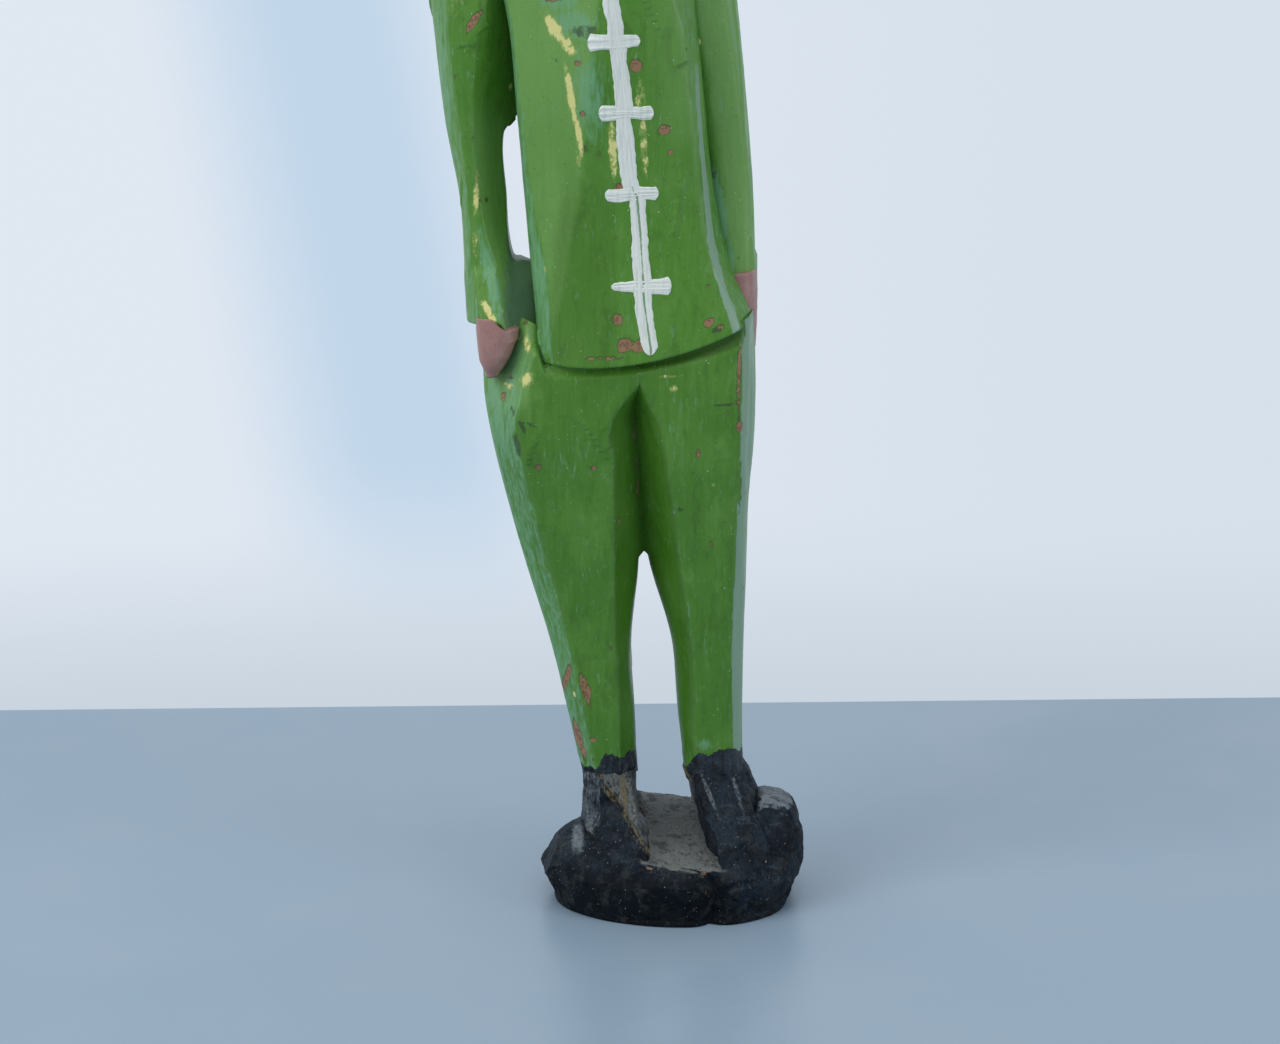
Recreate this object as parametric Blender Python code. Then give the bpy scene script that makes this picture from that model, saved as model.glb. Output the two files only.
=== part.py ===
"""A carved and painted wooden figure: a standing person in a green suit, hands in the trouser pockets.

The shoes stand on a rough block. The figure faces -Y, its right side is at -X and +Z is up. The origin is
the middle of the flat underside of the base. Sizes below are millimetres, turned into metres where a mesh
is made.
"""

import math

import bmesh
import bpy
from mathutils import Vector

MM = 0.001

# Driving dimensions
GAP = 0.3  # left between two neighbouring pieces
ANKLE_HEIGHT = 32.0
CROTCH_HEIGHT = 86.0
SEAT_HEIGHT = 127.0  # where the legs have met and the hips begin
HEM_HEIGHT = 136.3  # jacket hem, on the figure's middle line
HEM_SWING = 0.0066  # how fast the hem rises away from the middle line, per millimetre squared
CUFF_RIGHT = 148.1
CUFF_LEFT = 151.8
LEAN = 0.098  # sideways run of the middle line, towards the figure's right, per unit of height
LEAN_START_X = -3.25  # the middle line's x at the ankles
BRAID_WIDTH = 3.7
BRAID_THICKNESS = 0.7
BAR_HEIGHT = 3.2
BAR_LENGTH = 12.5
BAR_HEIGHTS = (154.0, 175.5, 194.5, 211.0, 226.0, 239.5)
PIPING_TOP = 243.5
PIPING_PLACE = 7.6  # the piping's x from the middle line
PIPING_RISE = 1.2  # how far above the hem the piping ends
SHOE_SOLE = 11.0  # the soles are sunk in the base
SHOE_TOP = 31.4
FINGERTIP_RIGHT = 135.6
FINGERTIP_LEFT = 135.2
SLEEVE_TOP = 244.5
JACKET_TOP = 250.0
COLLAR_LOW = 248.4
COLLAR_HIGH = 256.0
NECK_LOW = 250.4
NECK_HIGH = 269.5
CHIN_HEIGHT = 257.5
EAR_LOW = 274.5
EAR_HIGH = 290.0
CROWN_HEIGHT = 314.0
HAIR_TOP = 313.9
HAIR_THICKNESS = 2.6
CUFF_CLEARANCE = 12.0  # how far up the hip is cut away round each sleeve

# Facets round each kind of solid, which stay visible as knife cuts
BODY_FACETS = 32
LIMB_FACETS = 24
SMALL_FACETS = 16


def middle(z):
    """x of the figure's leaning middle line at height z."""
    return LEAN_START_X - LEAN * (z - ANKLE_HEIGHT)


def tilt(z):
    """How much a cut across the figure slopes: level at the ankles, square to the lean from the crotch up."""
    share = (z - ANKLE_HEIGHT) / (CROTCH_HEIGHT - ANKLE_HEIGHT)
    return LEAN * min(max(share, 0.0), 1.0)


def spline(rows, t):
    """Values between the rows of a table whose first column is t, on a smooth curve through them."""
    last = len(rows) - 1
    i = max(k for k in range(last) if k == 0 or rows[k][0] <= t)
    before, low, high, after = (rows[min(max(i + k, 0), last)] for k in (-1, 0, 1, 2))
    span = high[0] - low[0]
    s = (t - low[0]) / span
    values = []
    for a, b, c, d in zip(before[1:], low[1:], high[1:], after[1:]):
        slope_b = (c - a) * span / max(high[0] - before[0], span)
        slope_c = (d - b) * span / max(after[0] - low[0], span)
        values.append(
            b * (1 + 2 * s) * (1 - s) ** 2
            + slope_b * s * (1 - s) ** 2
            + c * s * s * (3 - 2 * s)
            + slope_c * s * s * (s - 1)
        )
    return values


def steps(low, high, count):
    return [low + (high - low) * i / count for i in range(count + 1)]


def section(centre, right, left, front, back, power_right, power_left, facets, grow=0.0):
    """A closed outline: four quarter superellipses. right is the figure's right, at -X."""
    points = []
    for i in range(facets):
        angle = 2 * math.pi * (i + 0.5) / facets
        c, s = math.cos(angle), math.sin(angle)
        power = power_left if c > 0 else power_right
        reach_x = (left if c > 0 else right) + grow
        reach_y = (front if s < 0 else back) + grow
        x = math.copysign(abs(c) ** (2 / power), c) * reach_x
        y = math.copysign(abs(s) ** (2 / power), s) * reach_y
        points.append((centre[0] + x, centre[1] + y))
    return points


def loft(name, rings, caps=True):
    """A closed solid through rings of as many points each, from the lowest ring to the highest."""
    mesh = bpy.data.meshes.new(name)
    form = bmesh.new()
    made = [[form.verts.new(Vector(p) * MM) for p in ring] for ring in rings]
    count = len(made[0])
    for low, high in zip(made, made[1:]):
        for i in range(count):
            j = (i + 1) % count
            form.faces.new((low[i], low[j], high[j], high[i]))
    if caps:
        for ring, order in ((made[0], -1), (made[-1], 1)):
            hub = form.verts.new(sum((v.co for v in ring), Vector()) / count)
            for i in range(count):
                pair = (ring[i], ring[(i + 1) % count])[::order]
                form.faces.new((*pair, hub))
    bmesh.ops.recalc_face_normals(form, faces=form.faces)
    form.to_mesh(mesh)
    form.free()
    return bpy.data.objects.new(name, mesh)


def body_loft(name, table, low, high, count, facets, grow=0.0, lift=None, relief=None):
    """A loft up the leaning figure.

    A table row is z, then the section's sideways place from the middle line, its depth place, its
    reach to the right, left, front and back, and its two powers. lift(x, y, z) raises a point and
    relief(x, y, z) moves a point of the front half along Y, both with x measured from the middle line.
    """
    rings = []
    for z in steps(low, high, count):
        place_x, place_y, right, left, front, back, power_right, power_left = spline(table, z)
        outline = section(
            (place_x, place_y), right, left, front, back, power_right, power_left, facets, grow
        )
        ring = []
        for x, y in outline:
            height = z + tilt(z) * x
            if lift:
                height += lift(x, y, z)
            depth = y
            if relief and y < place_y:
                depth += relief(x, y, z)
            ring.append((middle(z) + x, depth, height))
        rings.append(ring)
    return loft(name, rings)


def material(name, colour, roughness):
    made = bpy.data.materials.new(name)
    made.use_nodes = True
    shader = made.node_tree.nodes["Principled BSDF"]
    shader.inputs["Base Color"].default_value = (*colour, 1.0)
    shader.inputs["Roughness"].default_value = roughness
    shader.inputs["Metallic"].default_value = 0.0
    return made


def boolean(target, other, operation):
    modifier = target.modifiers.new(operation.lower() + "_" + other.name, "BOOLEAN")
    modifier.operation = operation
    modifier.object = other
    modifier.solver = "EXACT"


def link(obj, collection, paint=None):
    collection.objects.link(obj)
    if paint:
        obj.data.materials.append(paint)
    return obj


def helper(obj, collection):
    """A cutter or a shape that is joined into another object."""
    collection.objects.link(obj)
    obj.hide_render = True
    obj.display_type = "WIRE"
    return obj


# Tables: z, sideways place, depth place, right, left, front, back, power of the right half and of the left
JACKET = (
    (136.0, 5.2, 0.0, 24.6, 27.4, 20.2, 20.0, 3.2, 2.9),
    (150.0, 4.4, 0.0, 23.2, 25.6, 18.8, 18.0, 3.6, 3.0),
    (172.0, 4.2, 0.0, 22.8, 22.6, 17.4, 16.6, 3.6, 3.4),
    (195.0, 4.2, 0.0, 22.4, 22.4, 18.4, 17.6, 3.4, 3.2),
    (222.0, 4.0, 0.0, 22.6, 23.0, 19.6, 18.6, 3.2, 3.0),
    (236.0, 2.2, 0.5, 26.4, 26.6, 17.6, 17.2, 2.7, 2.7),
    (244.0, 0.6, 0.8, 25.0, 25.0, 13.4, 13.8, 2.3, 2.3),
    (250.5, 0.0, 1.0, 13.0, 13.0, 10.4, 11.2, 2.0, 2.0),
)
SLEEVE_RIGHT = (
    (146.0, -29.8, -1.6, 5.6, 11.8, 12.6, 8.4, 2.5, 2.8),
    (153.0, -29.6, -1.6, 5.5, 11.4, 11.0, 8.4, 2.6, 2.8),
    (158.0, -29.2, -0.8, 5.7, 11.0, 9.8, 8.6, 2.8, 2.8),
    (161.5, -28.8, 0.2, 5.6, 7.0, 9.2, 9.0, 3.0, 3.0),
    (176.0, -28.5, 1.0, 5.4, 6.4, 8.8, 9.6, 3.0, 3.0),
    (190.0, -28.6, 1.2, 6.4, 7.4, 10.2, 10.4, 2.8, 3.0),
    (194.5, -28.1, 1.2, 7.2, 10.8, 11.0, 10.8, 2.6, 2.8),
    (212.0, -27.0, 1.2, 8.6, 10.4, 12.4, 11.8, 2.4, 2.6),
    (230.0, -26.6, 1.2, 8.9, 10.6, 12.8, 12.2, 2.3, 2.3),
    (237.0, -25.6, 1.2, 8.8, 11.0, 12.0, 11.4, 2.2, 2.2),
    (244.5, -21.8, 1.2, 6.0, 8.0, 7.0, 7.0, 2.0, 2.0),
)
SLEEVE_LEFT = (
    (151.0, 30.4, 0.0, 7.0, 4.6, 8.6, 8.4, 2.4, 2.6),
    (160.0, 30.6, 0.8, 8.4, 5.4, 8.2, 8.8, 2.6, 2.6),
    (176.0, 30.4, 1.8, 9.4, 6.1, 8.2, 9.2, 2.8, 2.8),
    (196.0, 29.4, 2.0, 9.4, 7.1, 9.4, 10.0, 2.6, 2.6),
    (212.0, 28.2, 1.8, 9.4, 8.2, 11.4, 11.2, 2.4, 2.4),
    (230.0, 27.2, 1.4, 10.6, 9.0, 12.6, 12.2, 2.3, 2.3),
    (237.0, 26.2, 1.2, 11.0, 8.8, 12.0, 11.4, 2.2, 2.2),
    (244.5, 22.0, 1.2, 8.0, 6.0, 7.0, 7.0, 2.0, 2.0),
)
# The legs' inner halves are boxy high up, where they meet, and round lower down, where a groove parts them
LEG_RIGHT = (
    (29.5, -12.5, 0.6, 7.3, 7.1, 8.6, 8.8, 2.6, 2.6),
    (46.0, -13.0, 0.4, 8.6, 8.5, 9.6, 9.4, 2.8, 2.6),
    (64.0, -13.5, 0.2, 10.2, 9.9, 11.4, 11.0, 2.9, 2.6),
    (84.0, -13.4, 0.0, 13.7, 13.6, 13.8, 14.0, 2.9, 2.6),
    (98.0, -14.0, 0.0, 15.4, 15.25, 16.0, 17.2, 2.8, 2.8),
    (113.0, -14.4, 0.0, 17.2, 16.85, 18.2, 20.2, 2.8, 4.4),
    (127.0, -14.7, 0.0, 18.2, 18.15, 18.6, 20.2, 2.8, 9.0),
    (137.0, -14.8, 0.0, 18.4, 18.25, 18.2, 19.2, 2.8, 12.0),
)
LEG_LEFT = (
    (29.5, 12.6, 0.6, 7.2, 7.9, 8.6, 8.8, 2.6, 2.6),
    (46.0, 13.2, 0.4, 8.0, 8.7, 9.6, 9.4, 2.6, 2.8),
    (64.0, 14.2, 0.2, 8.8, 9.7, 11.4, 11.0, 2.6, 2.9),
    (84.0, 14.2, 0.0, 12.4, 12.2, 13.8, 14.0, 2.6, 2.9),
    (98.0, 15.2, 0.0, 13.35, 12.9, 16.0, 17.2, 2.8, 2.8),
    (113.0, 16.8, 0.0, 13.75, 14.0, 18.2, 20.2, 4.4, 2.8),
    (127.0, 18.0, 0.0, 13.95, 14.4, 18.6, 20.2, 9.0, 2.8),
    (137.0, 18.2, 0.0, 14.15, 14.6, 18.2, 19.2, 12.0, 2.8),
)
HAND_RIGHT = (
    (135.6, -30.2, -8.0, 1.6, 2.0, 3.4, 3.0, 2.2, 2.2),
    (138.4, -29.6, -7.4, 3.0, 3.6, 5.6, 4.6, 2.4, 2.4),
    (142.8, -28.8, -6.4, 4.2, 4.9, 7.2, 6.2, 2.4, 2.4),
    (150.0, -28.4, -5.6, 4.6, 5.4, 7.6, 6.4, 2.4, 2.4),
)
HAND_LEFT = (
    (135.2, 31.0, -3.4, 2.4, 1.6, 3.0, 3.0, 2.2, 2.2),
    (141.0, 30.8, -2.6, 3.8, 2.8, 6.0, 6.0, 2.4, 2.4),
    (152.0, 30.4, -1.0, 4.8, 4.0, 7.8, 7.0, 2.4, 2.4),
)
# The shoe's rows run from its sole, sunk in the base, up to the ankle; the toe points to the front
SHOE_RIGHT = (
    (11.0, -12.6, -2.0, 8.4, 7.4, 24.0, 13.0, 2.3, 2.3),
    (16.0, -12.8, -1.0, 8.8, 7.6, 22.0, 13.0, 2.3, 2.3),
    (21.0, -12.8, 0.0, 8.6, 7.4, 16.5, 12.0, 2.3, 2.3),
    (26.0, -12.6, 0.4, 7.8, 7.4, 11.6, 10.4, 2.4, 2.4),
    (31.4, -12.4, 0.6, 7.0, 7.0, 8.4, 8.8, 2.6, 2.6),
)
SHOE_LEFT = (
    (11.0, 14.0, -2.0, 9.4, 9.6, 24.6, 13.0, 2.3, 2.3),
    (16.0, 14.0, -1.0, 9.6, 10.0, 22.6, 13.0, 2.3, 2.3),
    (21.0, 13.6, 0.0, 9.4, 9.6, 17.0, 12.0, 2.3, 2.3),
    (26.0, 13.0, 0.4, 8.4, 8.6, 12.0, 10.4, 2.4, 2.4),
    (31.4, 12.6, 0.6, 7.2, 7.4, 8.6, 8.8, 2.6, 2.6),
)
NECK = (
    (249.0, 0.0, 1.5, 11.4, 11.4, 9.4, 10.6, 2.1, 2.1),
    (256.0, 0.0, 1.6, 10.4, 10.4, 9.6, 10.4, 2.1, 2.1),
    (270.0, 0.0, 1.4, 10.2, 10.2, 10.0, 10.6, 2.1, 2.1),
)
COLLAR = (
    (248.0, 0.0, 1.2, 14.6, 14.6, 12.6, 13.6, 2.1, 2.1),
    (254.5, 0.0, 1.2, 13.4, 13.4, 12.2, 13.0, 2.1, 2.1),
    (257.0, 0.0, 1.2, 12.8, 12.8, 11.8, 12.6, 2.1, 2.1),
)
HEAD = (
    (257.5, 0.0, -9.5, 6.0, 6.0, 5.4, 6.0, 2.1, 2.1),
    (260.5, 0.0, -6.5, 10.6, 10.6, 10.6, 12.0, 2.1, 2.1),
    (267.0, 0.0, -3.0, 15.6, 15.6, 16.2, 17.4, 2.3, 2.3),
    (276.0, 0.0, -0.5, 18.2, 18.2, 19.2, 21.6, 2.4, 2.4),
    (287.0, 0.0, 0.5, 19.6, 19.6, 20.0, 23.6, 2.4, 2.4),
    (298.0, 0.0, 0.5, 19.6, 19.6, 19.8, 23.6, 2.3, 2.3),
    (306.0, 0.0, 0.5, 16.6, 16.6, 16.8, 20.0, 2.2, 2.2),
    (311.5, 0.0, 0.5, 11.0, 11.0, 11.0, 13.2, 2.1, 2.1),
    (314.0, 0.0, 0.5, 4.0, 4.0, 4.0, 5.0, 2.0, 2.0),
)
EAR = (
    (274.5, 19.2, 3.0, 2.6, 1.6, 2.2, 2.6, 2.0, 2.0),
    (279.0, 20.4, 2.6, 4.0, 2.2, 3.8, 4.0, 2.0, 2.0),
    (285.0, 21.0, 2.6, 4.0, 2.8, 4.6, 5.0, 2.0, 2.0),
    (290.0, 20.8, 3.2, 3.0, 1.8, 2.6, 3.2, 2.0, 2.0),
)
# The base's outline where it is widest, facet by facet, from the figure's right side round the front
BASE_OUTLINE = (
    (-34.2, -6.0),
    (-31.2, -16.0),
    (-20.0, -25.0),
    (-6.0, -29.5),
    (8.0, -30.0),
    (20.0, -27.0),
    (30.0, -19.0),
    (33.0, -6.0),
    (31.5, 8.0),
    (26.0, 20.0),
    (14.0, 27.5),
    (-2.0, 29.0),
    (-16.0, 26.0),
    (-27.0, 17.0),
    (-33.2, 5.0),
)


def ease(value):
    """0 below 0, 1 above 1, and a smooth rise between."""
    share = min(max(value, 0.0), 1.0)
    return share * share * (3 - 2 * share)


def hem_edge(x, y, z):
    """The hem swings up towards both sides; the rings above it even that out."""
    share = ease((HEM_HEIGHT + 26.0 - z) / 26.0)
    return share * HEM_SWING * x * x


def seat_edge(x, y, z):
    """The trousers' top follows the hem, and climbs to the cuff outside the jacket on the figure's right."""
    share = ease((z - SEAT_HEIGHT) / (HEM_HEIGHT - SEAT_HEIGHT))
    return share * (HEM_SWING * x * x + 7.0 * ease((-x - 18.0) / 4.0))


def bell(value, middle_value, width):
    return math.exp(-(((value - middle_value) / width) ** 2))


def face(x, y, z):
    """How far the calm, plain face stands forward of the head's smooth front."""
    nose = 5.2 * bell(x, 0.0, 3.4) * ease((290.0 - z) / 14.0) * ease((z - 271.5) / 3.5)
    brow = 1.3 * bell(z, 290.5, 3.0) * bell(x, 0.0, 13.0)
    socket = -2.0 * bell(z, 285.5, 4.2) * bell(abs(x), 8.0, 5.0)
    lips = 1.8 * bell(z, 267.5, 3.0) * bell(x, 0.0, 6.0)
    chin = 1.6 * bell(z, 260.5, 3.6) * bell(x, 0.0, 7.0)
    return -(nose + brow + socket + lips + chin)


def jacket(grow=0.0, name="jacket_body"):
    low, high = HEM_HEIGHT - grow, JACKET_TOP + grow
    return body_loft(name, JACKET, low, high, 18, BODY_FACETS, grow, lift=hem_edge)


def head(grow=0.0, name="head"):
    return body_loft(name, HEAD, CHIN_HEIGHT - grow, CROWN_HEIGHT + grow, 22, BODY_FACETS, grow, relief=face)


def front_of(table, x, z):
    """y of a leaning solid's front at x, measured from the middle line, and height z."""
    place_x, place_y, right, left, front, _, power_right, power_left = spline(table, z - tilt(z) * x)
    side = x - place_x
    reach, power = (left, power_left) if side > 0 else (right, power_right)
    return place_y - front * (1 - abs(side / reach) ** power) ** (1 / power)


def hairline(angle):
    """Height of the hair's lower edge round the head: brow, over the ears, nape."""
    turn = math.degrees(math.asin(math.sin(angle)))
    return 306.0 - 14.5 * ease((turn + 78.0) / 50.0) - 19.0 * ease((turn - 24.0) / 26.0)


def hair_ring(share, grow):
    """A ring of the hair, at a share of the way from the hairline to the crown."""
    ring = []
    for i in range(BODY_FACETS):
        angle = 2 * math.pi * (i + 0.5) / BODY_FACETS
        z = hairline(angle) + (HAIR_TOP - hairline(angle)) * share
        place_x, place_y, right, left, front, back, power_right, power_left = spline(HEAD, z)
        outline = section(
            (place_x, place_y), right, left, front, back, power_right, power_left, BODY_FACETS, grow
        )
        x, y = outline[i]
        ring.append((middle(z) + x, y, z + tilt(z) * x + grow * share))
    return ring


def hair_cap():
    return loft("hair_cap", [hair_ring(share, HAIR_THICKNESS) for share in steps(0.0, 1.0, 8)])


def base_top(x, y):
    """The base's upper side: a sloping plateau, with a low lump on the right and a high one on the left."""
    plateau = 16.3 + 0.14 * y
    high_lump = (7.4 - 0.1 * y) * ease((x - 19.0) / 3.0) * ease((y + 24.0) / 9.0)
    low_lump = 1.6 * ease((-x - 19.0) / 3.0)
    rounding = 4.0 * ease((math.hypot(x, y) - 25.0) / 8.0)
    return plateau + high_lump + low_lump - rounding


def base_mound():
    corners = []
    for (x1, y1), (x2, y2) in zip(BASE_OUTLINE, BASE_OUTLINE[1:] + BASE_OUTLINE[:1]):
        corners += [(x1, y1), ((x1 + x2) / 2, (y1 + y2) / 2)]
    rings = [
        [(scale * x, scale * y, z) for x, y in corners]
        for scale, z in ((0.87, 0.0), (0.965, 3.5), (1.0, 9.0))
    ]
    for scale, drop in ((0.985, 2.2), (0.93, 0.0), (0.7, 0.0), (0.4, 0.0)):
        ring = []
        for x, y in corners:
            ring.append((scale * x, scale * y, base_top(scale * x, scale * y) - drop))
        rings.append(ring)
    return loft("base_mound", rings)


def strip(name, path, half_width, thickness, sink=0.0):
    """A raised band on the jacket's front, along points given as x from the middle line and height."""
    rings = []
    for x, z, across, up in path:
        ring = []
        for side, depth in ((-1, 0), (1, 0), (1, 1), (-1, 1)):
            px, pz = x + side * half_width * across, z + side * half_width * up
            y = front_of(JACKET, px, pz) - GAP - 0.05 - depth * thickness + (1 - depth) * sink
            ring.append((middle(pz) + px, y, pz))
        rings.append(ring)
    return loft(name, rings)


def front_piping(grow=0.0, name="front_piping"):
    path = [(PIPING_PLACE, z, 1, 0) for z in steps(HEM_HEIGHT + PIPING_RISE, PIPING_TOP, 18)]
    return strip(name, path, BRAID_WIDTH / 2 + grow, BRAID_THICKNESS + grow, sink=4 * grow)


def braid_bar(number, height):
    ends = steps(-BAR_LENGTH / 2, BAR_LENGTH / 2, 6)
    path = [(PIPING_PLACE + x, height + tilt(height) * x, 0, 1) for x in ends]
    return strip(f"braid_bar_{number}", path, BAR_HEIGHT / 2, 2 * BRAID_THICKNESS + GAP)


def build():
    for obj in list(bpy.data.objects):
        bpy.data.objects.remove(obj)
    figure = bpy.data.collections.new("carved_figure")
    cutters = bpy.data.collections.new("cutters")
    for collection in (figure, cutters):
        bpy.context.scene.collection.children.link(collection)
    jacket_green = material("jacket_green", (0.085, 0.235, 0.035), 0.38)
    trouser_green = material("trouser_green", (0.075, 0.215, 0.03), 0.38)
    skin = material("skin_brown", (0.28, 0.115, 0.095), 0.5)
    white = material("braid_white", (0.75, 0.78, 0.74), 0.4)
    black = material("shoe_black", (0.02, 0.022, 0.026), 0.5)
    charcoal = material("base_charcoal", (0.04, 0.042, 0.045), 0.65)
    hair = material("hair_black", (0.015, 0.015, 0.016), 0.5)

    body = link(jacket(), figure, jacket_green)
    body_cutter = helper(jacket(GAP, "jacket_cutter"), cutters)
    skull_cutter = helper(head(GAP, "head_cutter"), cutters)

    legs = {}
    for side, table in (("right", LEG_RIGHT), ("left", LEG_LEFT)):
        leg = body_loft(
            "trouser_leg_" + side,
            table,
            ANKLE_HEIGHT - GAP,
            HEM_HEIGHT - GAP,
            16,
            LIMB_FACETS,
            lift=seat_edge,
        )
        legs[side] = link(leg, figure, trouser_green)
        boolean(leg, body_cutter, "DIFFERENCE")

    # Arms: each sleeve ends in a cuff, and the hand below it is sunk in the trouser pocket
    for side, sleeve_table, hand_table, cuff, tip in (
        ("right", SLEEVE_RIGHT, HAND_RIGHT, CUFF_RIGHT, FINGERTIP_RIGHT),
        ("left", SLEEVE_LEFT, HAND_LEFT, CUFF_LEFT, FINGERTIP_LEFT),
    ):
        sleeve = body_loft("sleeve_" + side, sleeve_table, cuff, SLEEVE_TOP, 18, LIMB_FACETS)
        boolean(link(sleeve, figure, jacket_green), body_cutter, "DIFFERENCE")
        hand = body_loft("hand_" + side, hand_table, tip, cuff - GAP, 6, SMALL_FACETS)
        boolean(link(hand, figure, skin), body_cutter, "DIFFERENCE")
        pocket = body_loft(
            f"pocket_{side}_cutter", hand_table, tip - GAP, cuff, 6, SMALL_FACETS, GAP
        )
        boolean(legs[side], helper(pocket, cutters), "DIFFERENCE")
        above = body_loft(
            f"cuff_{side}_cutter", sleeve_table, cuff - GAP, cuff + CUFF_CLEARANCE, 6, LIMB_FACETS, GAP
        )
        boolean(legs[side], helper(above, cutters), "DIFFERENCE")

    # Base and shoes
    base = link(base_mound(), figure, charcoal)
    for side, table in (("right", SHOE_RIGHT), ("left", SHOE_LEFT)):
        link(
            body_loft("shoe_" + side, table, SHOE_SOLE, SHOE_TOP, 8, LIMB_FACETS),
            figure,
            black,
        )
        grown = body_loft(
            f"shoe_{side}_cutter", table, SHOE_SOLE - GAP, ANKLE_HEIGHT, 8, LIMB_FACETS, GAP
        )
        boolean(base, helper(grown, cutters), "DIFFERENCE")

    # Neck, collar and head
    neck = link(body_loft("neck", NECK, NECK_LOW, NECK_HIGH, 8, LIMB_FACETS), figure, skin)
    boolean(neck, skull_cutter, "DIFFERENCE")
    neck_cutter = helper(
        body_loft("neck_cutter", NECK, COLLAR_LOW - 2.0, NECK_HIGH, 8, LIMB_FACETS, GAP), cutters
    )
    collar = link(
        body_loft("jacket_collar", COLLAR, COLLAR_LOW, COLLAR_HIGH, 4, LIMB_FACETS), figure, jacket_green
    )
    boolean(collar, neck_cutter, "DIFFERENCE")
    boolean(collar, body_cutter, "DIFFERENCE")
    link(head(), figure, skin)
    boolean(link(hair_cap(), figure, hair), skull_cutter, "DIFFERENCE")
    for side, sign in (("right", -1), ("left", 1)):
        table = tuple(
            (z, sign * x, y, *((inner, outer) if sign > 0 else (outer, inner)), *rest)
            for z, x, y, inner, outer, *rest in EAR
        )
        ear = link(body_loft("ear_" + side, table, EAR_LOW, EAR_HIGH, 6, SMALL_FACETS), figure, skin)
        boolean(ear, skull_cutter, "DIFFERENCE")

    # White braid down the jacket's front
    link(front_piping(), figure, white)
    piping_cutter = helper(front_piping(GAP, "piping_cutter"), cutters)
    for number, height in enumerate(BAR_HEIGHTS, 1):
        boolean(link(braid_bar(number, height), figure, white), piping_cutter, "DIFFERENCE")

    pieces = list(figure.objects)
    root = link(bpy.data.objects.new("figure_root", None), figure)
    for piece in pieces:
        piece.parent = root


build()
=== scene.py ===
"""The looks of a carved and painted wooden figure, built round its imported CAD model.

Shapes are worked out in millimetres and in the figure's own straight space, where x is measured from its
leaning middle line, and are then leant over. The figure faces -Y and its right side is at -X.
"""

import itertools
import math

import bpy
import numpy as np
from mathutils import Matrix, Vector
from mathutils.bvhtree import BVHTree

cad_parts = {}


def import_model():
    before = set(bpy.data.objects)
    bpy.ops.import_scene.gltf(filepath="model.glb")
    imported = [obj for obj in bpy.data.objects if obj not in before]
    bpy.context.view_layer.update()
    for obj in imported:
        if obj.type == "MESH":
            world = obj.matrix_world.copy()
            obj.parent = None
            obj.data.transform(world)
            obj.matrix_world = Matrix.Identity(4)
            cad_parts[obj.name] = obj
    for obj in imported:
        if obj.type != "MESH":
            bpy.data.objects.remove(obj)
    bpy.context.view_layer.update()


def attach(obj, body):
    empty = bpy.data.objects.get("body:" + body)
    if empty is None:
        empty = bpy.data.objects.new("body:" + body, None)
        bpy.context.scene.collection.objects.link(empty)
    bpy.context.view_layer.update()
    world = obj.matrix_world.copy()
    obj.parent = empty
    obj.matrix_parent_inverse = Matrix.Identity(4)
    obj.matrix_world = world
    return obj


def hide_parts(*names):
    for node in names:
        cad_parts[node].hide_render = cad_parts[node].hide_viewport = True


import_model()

MM = 0.001

# ------------------------------------------------------------------------------
# Driving dimensions. The numbers up to BAR_HEIGHTS equal the CAD model's, and so do the tables HAND_LEFT,
# NECK, COLLAR, HEAD, EAR and BASE_OUTLINE. The other section tables differ from it, to follow the photo.

ANKLE_HEIGHT = 32.0
CROTCH_HEIGHT = 86.0
SEAT_HEIGHT = 127.0
HEM_HEIGHT = 136.3
HEM_SWING = 0.0066
CUFF_RIGHT = 148.1
CUFF_LEFT = 151.8
LEAN = 0.098
LEAN_START_X = -3.25
PIPING_PLACE = 7.6
PIPING_TOP = 243.5
BRAID_WIDTH = 3.7
BAR_HEIGHTS = (154.0, 175.5, 194.5, 211.0, 226.0, 239.5)
BAR_LENGTHS = (14.2, 12.6, 12.8, 12.2, 12.4, 12.0)
# How thick each bar's stroke is at its right end, in the middle and at its left end
BAR_THICKNESSES = (
    (1.6, 3.4, 4.4), (2.8, 3.2, 3.4), (3.6, 3, 3.4), (4.8, 3, 2.8), (3.4, 3, 3.6), (3.6, 3, 3),
)

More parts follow.
